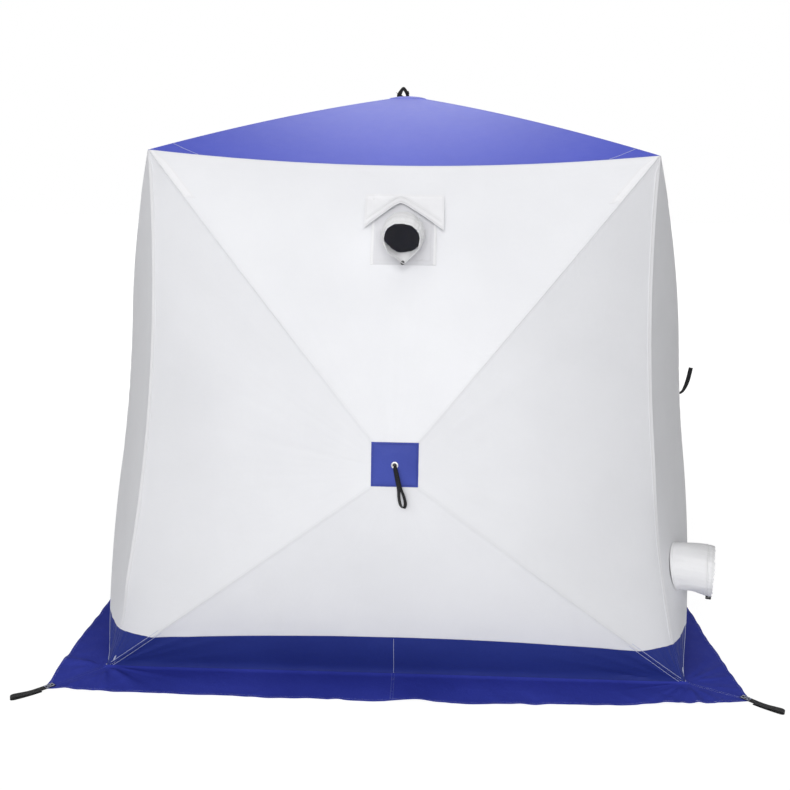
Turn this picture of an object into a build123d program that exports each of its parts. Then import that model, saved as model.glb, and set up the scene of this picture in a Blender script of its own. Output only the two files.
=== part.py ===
"""Pop-up hub-frame shelter for ice fishing: five cloth panels pushed out by bowed rods.

Millimetres. +Z is up, the front wall faces -Y, and the origin is on the ground below the roof hub.
Each wall and the roof is a shallow pyramid of four cloth gores. A hub behind its peak carries four
pivoting sockets, whose rods run along the seams to pockets in the corners.
"""

from build123d import *
from math import atan2, cos, hypot, radians, sin, tan
import os

# ---- the tent as a whole -------------------------------------------------------------------
base_width = 2100.0         # between the lower rod corners
top_width = 1748.0          # between the upper rod corners
eave_height = 1852.0        # upper corners above the ground
wall_hub_height = 835.0
wall_bulge = 195.0          # a wall's peak beyond the line of its lower corners
roof_rise = 278.0           # the roof's peak above the upper corners

# ---- cloth ---------------------------------------------------------------------------------
cloth = 2.5                 # quilted wall and roof cloth
seam_gap = 0.3              # between cloth pieces sewn side by side
layer_gap = 0.3             # between layers that lie on each other
wall_rod_bow = 28.0         # outward bow of a wall rod and its seam
roof_rod_bow = 16.0
corner_seam_bow = 77.0      # inward pull of an upright corner seam at mid height
eave_bow_in = 50.0          # inward and downward pull of an eave at its middle
eave_bow_down = 42.0
ground_line_bow = 4.0
band_corner_height = 130.0  # top of the ground band at the corners and at mid wall
band_middle_height = 175.0
skirt_width = 190.0         # snow skirt beyond the ground line
skirt_corner_reach = 172.0
skirt_thickness = 2.5

# ---- rods, hubs and pockets ----------------------------------------------------------------
rod_diameter = 11.0
rod_cover = 3.0             # between a socket's tube and the seam that it lies behind
rod_end_setback = 34.0      # rod tip short of its corner
hub_diameter = 84.0
hub_thickness = 22.0
hub_depth = 15.0            # middle of the hub behind the wall's peak
wall_hub_rise = 16.0        # hub above the point where the wall's seams would meet
hub_slot_width = 13.0
hub_slot_start = 13.5       # inner end of a slot, from the hub's middle
hub_opening_margin = 5.0    # between the hub and the cut edges of the gores around it
pin_setback = 15.0          # pivot pins of the sockets inside the hub's rim
pin_diameter = 5.0
pin_clearance = 0.25
socket_length = 78.0
socket_wall = 2.2
socket_tongue = 11.6
socket_tongue_height = 13.0
socket_tube_start = 20.0    # from pivot pin to the round part of the socket
rod_insertion = 52.0
bore_clearance = 0.4
pocket_wall = 2.0
lower_pocket_length = 70.0
upper_pocket_length = 110.0

# ---- hub patches, grommets and pull loops --------------------------------------------------
patch_crown_margin = 4.0    # flat crown of a patch beyond the hub's rim
patch_slope_width = 31.5    # sloping border of a patch
patch_thickness = 2.0
grommet_outer = 24.0
grommet_bore = 13.0
grommet_wall = 1.25
grommet_clearance = 1.25    # between a grommet's barrel and the hole in its patch
grommet_height = 3.0
loop_webbing = 2.4
loop_width = 18.0
pull_loop_length = 138.0
pull_loop_radius = 11.0
pull_loop_swing = 9.0       # degrees from hanging straight
pull_loop_fork = 0.45       # share of the length where the two legs part
side_loop_reach = 72.0
side_loop_rise = 122.0
side_loop_flatness = 4.0    # radius of the upper leg over that of the lower
roof_loop_span = 40.0
roof_loop_height = 34.0

# ---- tie-down loops at the skirt corners ----------------------------------------------------
tie_width = 25.0
tie_length = 175.0
tie_overlap = 38.0
tie_webbing = 2.0
tie_eye_radius = 5.6

# ---- vents ---------------------------------------------------------------------------------
vent_rise = 0.755           # place of the front vent between wall peak and eave
vent_offset = 12.0          # vent to the right of the wall's middle
vent_patch_side = 48.0      # vent patch beyond the bore at its sides
vent_patch_end = 55.0       # and above and below
vent_bore = 136.0           # inside of a sleeve where it leaves the wall
vent_cut_depth = 800.0      # reach of a vent's cut through the hollow of its gore
vent_mouth = 108.0
sleeve_wall = 2.5
front_sleeve_length = 128.0
front_sleeve_sag = 34.0
flap_overhang = 19.0        # rain flap beyond the sides of its patch
flap_hem_slope = 48.2       # degrees; the hem is an inverted V that straddles the sleeve
flap_crown = 40.0           # top edge of the flap above the peak of its hem
flap_clearance = 0.3        # between the hem and the sleeve
side_vent_along = -850.0    # from the middle of the wall, towards the front
side_vent_height = 366.0
side_vent_bore = 165.0
side_vent_mouth = 180.0
side_sleeve_length = 130.0
side_sleeve_sag = 3.0
side_sleeve_turn = 16.0     # degrees that the mouth is turned towards the front
cord_lock_radius = 7.0
cord_lock_length = 20.0

# ---- zipped door in the rear wall ------------------------------------------------------------
door_hinge_along = -860.0   # sewn edge of the door, from mid wall
door_reach = 500.0          # from the sewn edge to the crown of the zip's arc
door_bottom = 360.0
door_head = 352.0           # top of the door below the upper corners
zip_width = 24.0
zip_thickness = 1.6
slider_length = 34.0
slider_width = 14.0
slider_thickness = 6.0

side_angles = {"front": 0, "right": 90, "rear": 180, "left": 270}
wall_hub_reach = base_width / 2 + wall_bulge
roof_hub_height = eave_height + roof_rise
door_top = eave_height - door_head
rod_radius = rod_diameter / 2
socket_radius = rod_radius + bore_clearance + socket_wall
rod_inset = socket_radius + rod_cover       # rod axis behind the seam that it pushes out
hub_pitch_radius = hub_diameter / 2 - pin_setback
patch_crown_width = hub_diameter + 2 * patch_crown_margin
patch_width = patch_crown_width + 2 * patch_slope_width
vent_patch_width = vent_bore + 2 * vent_patch_side
vent_patch_height = vent_bore + 2 * vent_patch_end
flap_width = vent_patch_width + 2 * flap_overhang
hub_share = (hub_diameter / 2 + hub_opening_margin) / wall_hub_height


# ---- geometry shared by cloth and frame --------------------------------------------------------
def upper_corner(side: int) -> Vector:
    """Upper corner of the front wall, side -1 for its left and 1 for its right."""
    return Vector(side * top_width / 2, -top_width / 2, eave_height)


def lower_corner(side: int) -> Vector:
    """Lower corner of the front wall."""
    return Vector(side * base_width / 2, -base_width / 2, 0)


def wall_peak() -> Vector:
    """Peak of the front wall, at the inner face of the cloth."""
    return Vector(0, -wall_hub_reach, wall_hub_height)


def roof_peak() -> Vector:
    """Peak of the roof."""
    return Vector(0, 0, roof_hub_height)


def wall_axis() -> Vector:
    """Outward axis of the front hub, leaned until its upper and lower rods slope alike."""
    upper = upper_corner(1) - wall_peak()
    lower = lower_corner(1) - wall_peak()
    upper_run = hypot(upper.X, upper.Z)
    lower_run = hypot(lower.X, lower.Z)
    excess = atan2(upper.Y, upper_run) - atan2(lower.Y, lower_run)
    lean = excess / (upper.Z / upper_run - lower.Z / lower_run)
    return Vector(0, -cos(lean), sin(lean))


def bow_direction(start: Vector, end: Vector, outward: Vector) -> Vector:
    """Direction square to the line from start to end, on its outward side."""
    along = (end - start).normalized()
    return (outward - along * outward.dot(along)).normalized()


def seam_point(peak: Vector, corner: Vector, bow: float, outward: Vector, t: float) -> Vector:
    """Point at share t of the bowed seam from a peak to a corner."""
    rise = bow_direction(peak, corner, outward) * (bow * 4 * t * (1 - t))
    return peak * (1 - t) + corner * t + rise


class Gore:
    """One triangular cloth gore between two bowed seams, with a pulled-in outer edge."""

    def __init__(
        self,
        peak: Vector,
        first: Vector,
        second: Vector,
        outward: Vector,
        bow: float,
        edge_pull: Vector,
    ):
        self.peak = peak
        self.corners = (first, second)
        self.outward = outward
        self.bow = bow
        self.edge_pull = edge_pull

    def section(self, t: float, lift: float = 0.0) -> tuple[Plane, float, float]:
        """Plane of the cross-section at share t, its half width and the sag of its middle."""
        first, second = (
            seam_point(self.peak, corner, self.bow, self.outward, t) for corner in self.corners
        )
        facing = (self.outward * (1 - t) - self.edge_pull.normalized() * t).normalized()
        chord = (second - first).normalized()
        facing = (facing - chord * facing.dot(chord)).normalized()
        middle = (first + second) * 0.5
        plane = Plane(origin=middle + facing * lift, x_dir=chord, z_dir=chord.cross(facing))
        half_width = (second - first).length / 2 - seam_gap / 2
        return plane, half_width, self.edge_pull.length * t * t

    def surface_point(self, t: float) -> Vector:
        """Middle of the gore's inner face at share t."""
        plane, _, sag = self.section(t)
        return plane.origin - plane.y_dir * sag

    def facing_plane(self, t: float) -> Plane:
        """Plane on the gore's middle line at share t, with Z facing outward and X along the wall."""
        step = 0.02
        uphill = (self.surface_point(t + step) - self.surface_point(t - step)).normalized()
        across = self.section(t)[0].x_dir
        return Plane(origin=self.surface_point(t), x_dir=across, z_dir=across.cross(uphill))


def build_gore(gore: Gore, first_share: float, lift: float = 0.0, thickness: float = cloth) -> Part:
    """Cloth of a gore, lofted from its cut edge at the hub to its outer edge."""
    last_share = 1 - seam_gap / (gore.surface_point(1) - gore.peak).length
    with BuildPart() as piece:
        for share in (first_share, (first_share + last_share) / 2, last_share):
            plane, half_width, sag = gore.section(share, lift)
            with BuildSketch(plane):
                with BuildLine():
                    inner = ThreePointArc((-half_width, 0), (0, -sag), (half_width, 0))
                    outer = ThreePointArc(
                        (-half_width, thickness), (0, thickness - sag), (half_width, thickness)
                    )
                    Line(inner @ 0, outer @ 0)
                    Line(inner @ 1, outer @ 1)
                make_face()
        loft()
    return piece.part


def wall_gores() -> dict[str, Gore]:
    """The four gores of the front wall."""
    peak = wall_peak()
    eave_pull = Vector(0, eave_bow_in, -eave_bow_down)
    ground_pull = Vector(0, ground_line_bow, 0)
    inward = corner_seam_bow / 2**0.5
    return {
        "top": Gore(peak, upper_corner(-1), upper_corner(1), wall_axis(), wall_rod_bow, eave_pull),
        "left": Gore(peak, lower_corner(-1), upper_corner(-1), wall_axis(), wall_rod_bow,
                     Vector(inward, inward, 0)),
        "right": Gore(peak, upper_corner(1), lower_corner(1), wall_axis(), wall_rod_bow,
                      Vector(-inward, inward, 0)),
        "bottom": Gore(peak, lower_corner(1), lower_corner(-1), wall_axis(), wall_rod_bow,
                       ground_pull),
    }


def roof_gore() -> Gore:
    """The roof gore over the front wall."""
    eave_pull = Vector(0, eave_bow_in, -eave_bow_down)
    return Gore(roof_peak(), upper_corner(1), upper_corner(-1), Vector(0, 0, 1), roof_rod_bow,
                eave_pull)


def find_on_gore(gore: Gore, along: float, height: float) -> Plane:
    """Plane on a side gore's inner face at a given place along the wall and height."""
    low, high = hub_share, 1.0
    while high - low > 1e-9:
        share = (low + high) / 2
        plane, half_width, sag = gore.section(share)
        offset = (height - plane.origin.Z) / plane.x_dir.Z
        hollow = sag * (1 - (offset / half_width) ** 2)
        point = plane.origin + plane.x_dir * offset - plane.y_dir * hollow
        if abs(point.X) < abs(along):
            low = share
        else:
            high = share
    return Plane(origin=point, x_dir=Vector(1, 0, 0), z_dir=gore.facing_plane(share).z_dir)


# ---- saving and turning pieces -----------------------------------------------------------------
def keep(piece: BuildPart, name: str) -> None:
    """Label a finished piece and write it as one STEP file."""
    piece.part.label = name
    export_step(piece.part, f"parts/{name}.step")


def turned(angle: float) -> Location:
    """Turn about the tent's upright axis."""
    return Location((0, 0, 0), (0, 0, angle))


def place(piece: BuildPart, angle: float, name: str) -> None:
    """Turn a piece that was modelled on the front wall to its own side, and keep it."""
    with BuildPart() as placed:
        with Locations(turned(angle)):
            add(piece.part)
    keep(placed, name)


# ---- walls, ground bands and roof ----------------------------------------------------------------

def band_region(clearance: float) -> Part:
    """Everything below the seam between the wall cloth and the ground band."""
    half = base_width / 2
    with BuildPart() as region:
        with BuildSketch(Plane.XZ):
            with BuildLine():
                seam = ThreePointArc(
                    (-half, band_corner_height + clearance),
                    (0, band_middle_height + clearance),
                    (half, band_corner_height + clearance),
                )
                Polyline(
                    seam @ 1,
                    (half + skirt_width, band_corner_height + clearance),
                    (half + skirt_width, -skirt_width),
                    (-half - skirt_width, -skirt_width),
                    (-half - skirt_width, band_corner_height + clearance),
                    seam @ 0,
                )
            make_face()
        extrude(amount=base_width)
    return region.part


def vent_cutter(plane: Plane, bore: float) -> Part:
    """Round hole through the cloth, with the seams that run up its panel beside and through it."""
    with BuildPart() as cutter:
        with BuildSketch(plane.offset(-vent_cut_depth / 2)):
            Circle(bore / 2)
            with Locations((-bore / 2, 0), (-bore / 4, 0), (bore / 4, 0), (bore / 2, 0)):
                Rectangle(seam_gap, 2 * base_width)
        extrude(amount=vent_cut_depth)
    return cutter.part


def door_region(clearance: float) -> Part:
    """D-shaped door, its sewn edge upright and its zip an arc, larger by the clearance."""
    hinge = door_hinge_along - min(clearance, seam_gap)
    with BuildPart() as region:
        with BuildSketch(Plane.XZ):
            with BuildLine():
                arc = ThreePointArc(
                    (hinge, door_bottom - clearance),
                    (door_hinge_along + door_reach + clearance, (door_bottom + door_top) / 2),
                    (hinge, door_top + clearance),
                )
                Line(arc @ 1, arc @ 0)
            make_face()
        extrude(amount=base_width)
    return region.part


def trimmed_gore(gore: Gore, cutters: list[Part]) -> Part:
    """Cloth of a gore with the given regions cut away."""
    whole = build_gore(gore, hub_share)
    with BuildPart() as trimmed:
        add(whole)
        for cutter in cutters:
            add(cutter, mode=Mode.SUBTRACT)
    return trimmed.part


def build_wall(name: str, openings: dict[str, Part]) -> None:
    """Four gores of one wall above the ground band, with any vent or door cut through them."""
    band = band_region(seam_gap / 2)
    pieces = []
    for gore_name, gore in wall_gores().items():
        cutters = [] if gore_name == "top" else [band]
        if gore_name in openings:
            cutters.append(openings[gore_name])
        pieces.append(trimmed_gore(gore, cutters))
    with BuildPart() as wall:
        add(pieces)
    place(wall, side_angles[name], f"{name}_wall")


def build_band(name: str) -> None:
    """Ground band of one wall: a tip on each side gore and two halves between them."""
    region = band_region(-seam_gap / 2)
    gores = wall_gores()
    tips = [build_gore(gores["left"], hub_share), build_gore(gores["right"], hub_share)]
    middle = build_gore(gores["bottom"], hub_share)
    with BuildPart() as band:
        add(middle)
        Box(seam_gap, 4 * base_width, base_width, mode=Mode.SUBTRACT)
        add(tips)
        add(region, mode=Mode.INTERSECT)
    place(band, side_angles[name], f"{name}_ground_band")


def build_skirt(name: str) -> None:
    """Snow skirt of one side, mitred at its corners and seamed at its middle."""
    band_slope = (wall_bulge + 4 * wall_rod_bow) / wall_hub_height
    inner = base_width / 2 + cloth + seam_gap + skirt_thickness * band_slope
    corner = base_width / 2 + skirt_corner_reach
    hem = base_width / 2 + skirt_width
    with BuildPart() as skirt:
        with BuildSketch(Plane.XY.rotated((0, 0, side_angles[name]))):
            with BuildLine():
                root = ThreePointArc(
                    (seam_gap - inner, -inner), (0, ground_line_bow - inner), (inner - seam_gap, -inner)
                )
                edge = ThreePointArc(
                    (seam_gap - corner, -corner), (0, -hem), (corner - seam_gap, -corner)
                )
                Line(root @ 0, edge @ 0)
                Line(root @ 1, edge @ 1)
            make_face()
            with Locations((0, -hem)):
                Rectangle(seam_gap, 3 * skirt_width, mode=Mode.SUBTRACT)
        extrude(amount=skirt_thickness)
    keep(skirt, f"{name}_snow_skirt")


def build_roof() -> None:
    """Four roof gores, mitred against the walls along the eaves."""
    gore = build_gore(roof_gore(), hub_share)
    with BuildPart() as roof:
        for angle in side_angles.values():
            with Locations(turned(angle)):
                add(gore)
    keep(roof, "roof")


# ---- rods, hubs and corner pockets ---------------------------------------------------------------
class Rod:
    """One bowed rod, from the pivot pin of its socket to its tip in a corner."""

    def __init__(self, peak: Vector, axis: Vector, corner: Vector, bow: float, rise: float = 0.0):
        self.axis = axis
        self.hub = peak - axis * hub_depth + axis.rotate(Axis.X, -90) * rise
        toward = corner - self.hub
        self.radial = (toward - axis * toward.dot(axis)).normalized()
        inward = bow_direction(peak, corner, axis) * -rod_inset
        tip_share = 1 - rod_end_setback / (corner - peak).length
        self.pivot = self.hub + self.radial * hub_pitch_radius
        self.tip = seam_point(peak, corner, bow, axis, tip_share) + inward
        self.middle = seam_point(peak, corner, bow, axis, 0.5) + inward

    def path(self) -> Edge:
        """Arc of the rod's axis, from the pivot to the tip."""
        with BuildLine() as line:
            ThreePointArc(self.pivot, self.middle, self.tip)
        return line.edge()

    def socket_plane(self) -> Plane:
        """Plane at the pivot with Z along the socket and Y along the pivot pin."""
        aim = (socket_length - rod_insertion / 2) / self.path().length
        direction = (self.path() @ aim - self.pivot).normalized()
        pin_direction = self.axis.cross(self.radial)
        return Plane(origin=self.pivot, x_dir=pin_direction.cross(direction), z_dir=direction)


def wall_rods() -> list[Rod]:
    """The four rods of the front wall."""
    corners = (upper_corner(1), upper_corner(-1), lower_corner(-1), lower_corner(1))
    return [
        Rod(wall_peak(), wall_axis(), corner, wall_rod_bow, wall_hub_rise) for corner in corners
    ]


def roof_rods() -> list[Rod]:
    """The four rods of the roof."""
    corners = [upper_corner(1).rotate(Axis.Z, angle) for angle in side_angles.values()]
    return [Rod(roof_peak(), Vector(0, 0, 1), corner, roof_rod_bow) for corner in corners]


def build_rods(rods: list[Rod], name: str, angle: float) -> None:
    """Four round rods, each seated in its socket and ending in its corner pocket."""
    axes = [rod.path() for rod in rods]
    with BuildPart() as bundle:
        for axis in axes:
            start = (socket_length - rod_insertion) / axis.length
            with BuildLine():
                ThreePointArc(axis @ start, axis @ 0.5, axis @ 1)
            with BuildSketch(Plane(origin=axis @ start, z_dir=axis % start)):
                Circle(rod_radius)
            sweep()
    place(bundle, angle, f"{name}_rods")


def hub_body(rods: list[Rod]) -> Part:
    """Round hub with four slots, a pivot pin across each and a thinner rim."""
    base = Plane(origin=rods[0].hub, x_dir=rods[0].radial, z_dir=rods[0].axis)
    with BuildPart() as body:
        with BuildSketch(base.offset(-hub_thickness / 2)):
            Circle(hub_diameter / 2)
        extrude(amount=hub_thickness)
        chamfer(body.edges().filter_by(GeomType.CIRCLE), hub_thickness / 8)
        for rod in rods:
            across = rod.axis.cross(rod.radial)
            slot = Plane(origin=rod.hub, x_dir=rod.radial, z_dir=across)
            with BuildSketch(slot.offset(-hub_slot_width / 2)):
                with Locations((hub_slot_start, 0)):
                    Rectangle(hub_diameter, 2 * hub_thickness, align=(Align.MIN, Align.CENTER))
            extrude(amount=hub_slot_width, mode=Mode.SUBTRACT)
        for rod in rods:
            across = rod.axis.cross(rod.radial)
            pin = Plane(origin=rod.pivot, x_dir=rod.radial, z_dir=across)
            with BuildSketch(pin.offset(-hub_slot_width)):
                Circle(pin_diameter / 2)
            extrude(amount=2 * hub_slot_width)
    return body.part


def hub_socket(rod: Rod) -> Part:
    """Pivoting socket: an eyed tongue on the pin, and a bored tube that takes the rod."""
    plane = rod.socket_plane()
    side = Plane(origin=plane.origin, x_dir=plane.z_dir, z_dir=plane.y_dir)
    with BuildPart() as socket:
        with BuildSketch(side.offset(-socket_tongue / 2)):
            Circle(socket_tongue_height / 2)
            Rectangle(
                socket_tube_start + socket_wall,
                socket_tongue_height,
                align=(Align.MIN, Align.CENTER),
            )
        extrude(amount=socket_tongue)
        with BuildSketch(plane.offset(socket_tube_start)):
            Circle(socket_radius)
        extrude(amount=socket_length - socket_tube_start)
        mouth = socket.edges().filter_by(GeomType.CIRCLE).sort_by(
            lambda edge: (edge.center() - plane.origin).dot(plane.z_dir)
        )[-1]
        chamfer(mouth, socket_wall / 3)
        with BuildSketch(plane.offset(socket_length)):
            Circle(rod_radius + bore_clearance)
        extrude(amount=-rod_insertion - seam_gap, mode=Mode.SUBTRACT)
        with BuildSketch(side.offset(-socket_tongue)):
            Circle(pin_diameter / 2 + pin_clearance)
        extrude(amount=2 * socket_tongue, mode=Mode.SUBTRACT)
    return socket.part


def build_hub(rods: list[Rod], name: str, angle: float) -> None:
    """Hub body with its four pivoting sockets."""
    pieces = [hub_body(rods)] + [hub_socket(rod) for rod in rods]
    with BuildPart() as hub:
        add(pieces)
    place(hub, angle, f"{name}_hub")


def rod_pocket(rod: Rod, length: float) -> Part:
    """Closed cloth pocket round the end of a rod."""
    clearance = 3 * seam_gap
    outer = rod_radius + clearance + pocket_wall
    direction = rod.path() % 1
    with BuildPart() as pocket:
        with BuildSketch(Plane(origin=rod.tip - direction * length, z_dir=direction)):
            Circle(outer)
        extrude(amount=length + seam_gap + pocket_wall)
        with BuildSketch(Plane(origin=rod.tip - direction * length, z_dir=direction)):
            Circle(rod_radius + clearance)
        extrude(amount=length + seam_gap, mode=Mode.SUBTRACT)
    return pocket.part


def build_pockets() -> None:
    """Rod pockets in the upper and the lower corners."""
    upper = [rod_pocket(rod, upper_pocket_length) for rod in wall_rods()[:2]]
    upper.append(rod_pocket(roof_rods()[0], upper_pocket_length))
    lower = [rod_pocket(rod, lower_pocket_length) for rod in wall_rods()[2:]]
    for pockets, name in ((upper, "upper_rod_pockets"), (lower, "lower_rod_pockets")):
        with BuildPart() as piece:
            for angle in side_angles.values():
                with Locations(turned(angle)):
                    add(pockets)
        keep(piece, name)


# ---- hub patches, grommets and pull loops ----------------------------------------------------------
def crown_plane(rods: list[Rod]) -> Plane:
    """Plane of a hub's outer face, X level along the wall."""
    rod = rods[0]
    origin = rod.hub + rod.axis * (hub_thickness / 2)
    return Plane(origin=origin, x_dir=Vector(1, 0, 0), z_dir=rod.axis)


def rim_drop(rods: list[Rod], gores: list[Gore]) -> float:
    """How far the seams lie behind the hub's face where they pass the rim of its patch."""
    crown = crown_plane(rods)
    drops = []
    for gore in gores:
        near, far = (
            crown.to_local_coords(plane.origin + plane.x_dir * half_width)
            for plane, half_width, _ in (gore.section(n * hub_share, cloth) for n in (1, 2))
        )
        near_out = max(abs(near.X), abs(near.Y))
        far_out = max(abs(far.X), abs(far.Y))
        slope = (far.Z - near.Z) / (far_out - near_out)
        drops.append(-near.Z - slope * (patch_width / 2 - near_out))
    return min(drops)


def build_hub_patch(rods: list[Rod], gores: list[Gore], name: str, angle: float) -> None:
    """Square cloth patch, flat over the hub and sloping to the gores around it."""
    base = crown_plane(rods).offset(layer_gap)
    patch_drop = rim_drop(rods, gores)
    with BuildPart() as patch:
        for rise, mode in ((patch_thickness, Mode.ADD), (0, Mode.SUBTRACT)):
            with BuildSketch(base.offset(rise - patch_drop)):
                Rectangle(patch_width, patch_width)
            with BuildSketch(base.offset(rise)):
                Rectangle(patch_crown_width, patch_crown_width)
            loft(mode=mode)
        with BuildSketch(base.offset(-patch_drop)):
            Circle(grommet_bore / 2 + grommet_wall + grommet_clearance)
        extrude(amount=2 * patch_drop, mode=Mode.SUBTRACT)
    place(patch, angle, f"{name}_hub_patch")


def grommet(rods: list[Rod]) -> Part:
    """Rolled metal ring in the middle of a hub patch."""
    base = crown_plane(rods).offset(layer_gap)
    lip = patch_thickness + layer_gap
    profile = Plane(origin=base.origin, x_dir=base.x_dir, z_dir=base.x_dir.cross(base.z_dir))
    with BuildPart() as ring:
        with BuildSketch(profile):
            with BuildLine():
                Polyline(
                    (grommet_bore / 2, lip + grommet_height / 4),
                    (grommet_bore / 2, 0),
                    (grommet_bore / 2 + grommet_wall, 0),
                    (grommet_bore / 2 + grommet_wall, lip),
                    (grommet_outer / 2, lip),
                )
                ThreePointArc(
                    (grommet_outer / 2, lip),
                    (grommet_outer / 4 + grommet_bore / 4, lip + grommet_height / 2),
                    (grommet_bore / 2, lip + grommet_height / 4),
                )
            make_face()
        revolve(axis=Axis(base.origin, base.z_dir))
    return ring.part


def loop_neck(rods: list[Rod], length: float) -> Part:
    """Bunched webbing that runs from the hub out through its grommet."""
    with BuildPart() as neck:
        with BuildSketch(crown_plane(rods).offset(seam_gap)):
            Circle(grommet_bore / 4)
        extrude(amount=length)
    return neck.part


def hanging_loop() -> Part:
    """Pull loop of a wall, a teardrop of webbing that hangs from its grommet."""
    stand_off = patch_thickness + 2 * layer_gap + grommet_height
    start = crown_plane(wall_rods()).origin + wall_axis() * stand_off
    front = Plane(origin=start, x_dir=Vector(1, 0, 0), z_dir=wall_axis())
    swing = radians(pull_loop_swing)
    end = (pull_loop_length * sin(swing), -pull_loop_length * cos(swing))
    fork = (pull_loop_fork * end[0], pull_loop_fork * end[1])
    neck = loop_neck(wall_rods(), stand_off)
    with BuildPart() as loop:
        with BuildSketch(front):
            with BuildLine() as outline:
                CenterArc((0, 0), grommet_bore / 4, 0, 360)
                CenterArc(end, pull_loop_radius, 0, 360)
            make_hull(outline.line.edges())
            with BuildLine() as eye:
                CenterArc(fork, loop_webbing / 4, 0, 360)
                CenterArc(end, pull_loop_radius - loop_webbing, 0, 360)
            make_hull(eye.line.edges(), mode=Mode.SUBTRACT)
        extrude(amount=loop_width)
        add(neck)
    return loop.part


def raised_loop() -> Part:
    """Pull loop of the right wall, which stands out and curls upward."""
    stand_off = patch_thickness + 2 * layer_gap + grommet_height
    start = crown_plane(wall_rods()).origin + wall_axis() * stand_off
    profile = Plane(origin=start, x_dir=Vector(0, -1, 0), z_dir=Vector(-1, 0, 0))
    tip = (side_loop_reach, side_loop_rise)
    neck = loop_neck(wall_rods(), stand_off)
    with BuildPart() as loop:
        with BuildSketch(profile.offset(-loop_width / 2)):
            with BuildLine():
                RadiusArc((0, 0), tip, -side_loop_rise)
                RadiusArc((0, 0), tip, -side_loop_flatness * side_loop_rise)
            make_face()
            offset(amount=loop_webbing / 2)
            offset(amount=-loop_webbing, mode=Mode.SUBTRACT)
        extrude(amount=loop_width)
        add(neck)
    return loop.part


def roof_loop() -> Part:
    """Short pull loop that stands on the roof's crown."""
    stand_off = patch_thickness + 2 * layer_gap + grommet_height
    start = crown_plane(roof_rods()).origin + Vector(0, 0, stand_off)
    upright = Plane(origin=start, x_dir=Vector(1, 0, 0), z_dir=Vector(0, -1, 0))
    foot = roof_loop_span / 2 - loop_webbing
    neck = loop_neck(roof_rods(), stand_off)
    with BuildPart() as loop:
        with BuildSketch(upright.offset(-loop_width / 2)):
            with BuildLine() as outline:
                CenterArc((-foot, loop_webbing), loop_webbing, 0, 360)
                CenterArc((foot, loop_webbing), loop_webbing, 0, 360)
                CenterArc((0, roof_loop_height - 2 * loop_webbing), 2 * loop_webbing, 0, 360)
            make_hull(outline.line.edges())
            offset(amount=-loop_webbing, mode=Mode.SUBTRACT)
        extrude(amount=loop_width)
        add(neck)
    return loop.part


def build_grommets() -> None:
    """Grommets of the four walls and the roof."""
    wall_ring = grommet(wall_rods())
    roof_ring = grommet(roof_rods())
    with BuildPart() as grommets:
        for angle in side_angles.values():
            with Locations(turned(angle)):
                add(wall_ring)
        add(roof_ring)
    keep(grommets, "hub_grommets")


def build_pull_loops() -> None:
    """Pull loops of the walls and the roof."""
    hanging = hanging_loop()
    shapes = {"front": hanging, "right": raised_loop(), "rear": hanging, "left": hanging}
    for name, shape in shapes.items():
        with BuildPart() as loop:
            add(shape)
        place(loop, side_angles[name], f"{name}_pull_loop")
    crown_shape = roof_loop()
    with BuildPart() as crown_loop:
        add(crown_shape)
    keep(crown_loop, "roof_pull_loop")


# ---- tie-down loops ----------------------------------------------------------------------------------
def build_tie_loops() -> None:
    """Webbing loops sewn on the skirt corners, each with an eye for a peg."""
    corner = (base_width / 2 + skirt_corner_reach) * 2**0.5
    root = corner - tie_overlap
    eye = root + tie_length - tie_eye_radius
    fork = corner + 2 * tie_webbing
    top = skirt_thickness + layer_gap
    with BuildPart() as loops:
        for angle in side_angles.values():
            upright = Plane.XZ.rotated((0, 0, 45 + angle))
            with BuildSketch(upright.offset(-tie_width / 2)):
                with BuildLine() as sewn:
                    CenterArc((root + tie_webbing, top + tie_webbing), tie_webbing, 0, 360)
                    CenterArc((fork, top + tie_webbing), tie_webbing, 0, 360)
                make_hull(sewn.line.edges())
                with BuildLine() as outline:
                    CenterArc((fork, top + tie_webbing), tie_webbing, 0, 360)
                    CenterArc((eye, top + tie_eye_radius), tie_eye_radius, 0, 360)
                make_hull(outline.line.edges())
                with BuildLine() as gap:
                    CenterArc((fork + tie_webbing, top + tie_webbing), tie_webbing / 8, 0, 360)
                    CenterArc((eye, top + tie_eye_radius), tie_eye_radius - tie_webbing, 0, 360)
                make_hull(gap.line.edges(), mode=Mode.SUBTRACT)
            extrude(amount=tie_width)
    keep(loops, "tie_down_loops")


# ---- vents -----------------------------------------------------------------------------------------
def tube_between(start: Plane, start_bore: float, end: Plane, end_bore: float) -> Part:
    """Cloth sleeve lofted between two round rims, open at both ends."""
    middle = Plane(
        origin=(start.origin + end.origin) * 0.5 + start.z_dir * (start_bore / 16),
        x_dir=start.x_dir,
        z_dir=(start.z_dir + end.z_dir).normalized(),
    )
    rims = ((start, start_bore), (middle, (start_bore + end_bore) / 2), (end, end_bore))
    with BuildPart() as tube:
        for wall, mode in ((sleeve_wall, Mode.ADD), (0, Mode.SUBTRACT)):
            for rim, bore in rims:
                with BuildSketch(rim):
                    Circle(bore / 2 + wall)
            loft(mode=mode)
    return tube.part


def front_vent_plane() -> Plane:
    """Middle of the front vent on the inner face of the top gore."""
    plane = wall_gores()["top"].facing_plane(vent_rise)
    return Plane(origin=plane.origin + plane.x_dir * vent_offset, x_dir=plane.x_dir, z_dir=plane.z_dir)


def front_patch_plane() -> Plane:
    """Back of the vent patch, clear of the hollow of the gore behind it."""
    half_width = wall_gores()["top"].section(vent_rise)[1]
    sag = wall_gores()["top"].section(vent_rise)[2]
    hollow = sag * (vent_patch_width / 2 / half_width) ** 2
    return front_vent_plane().offset(cloth + 3 * layer_gap + hollow)


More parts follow.
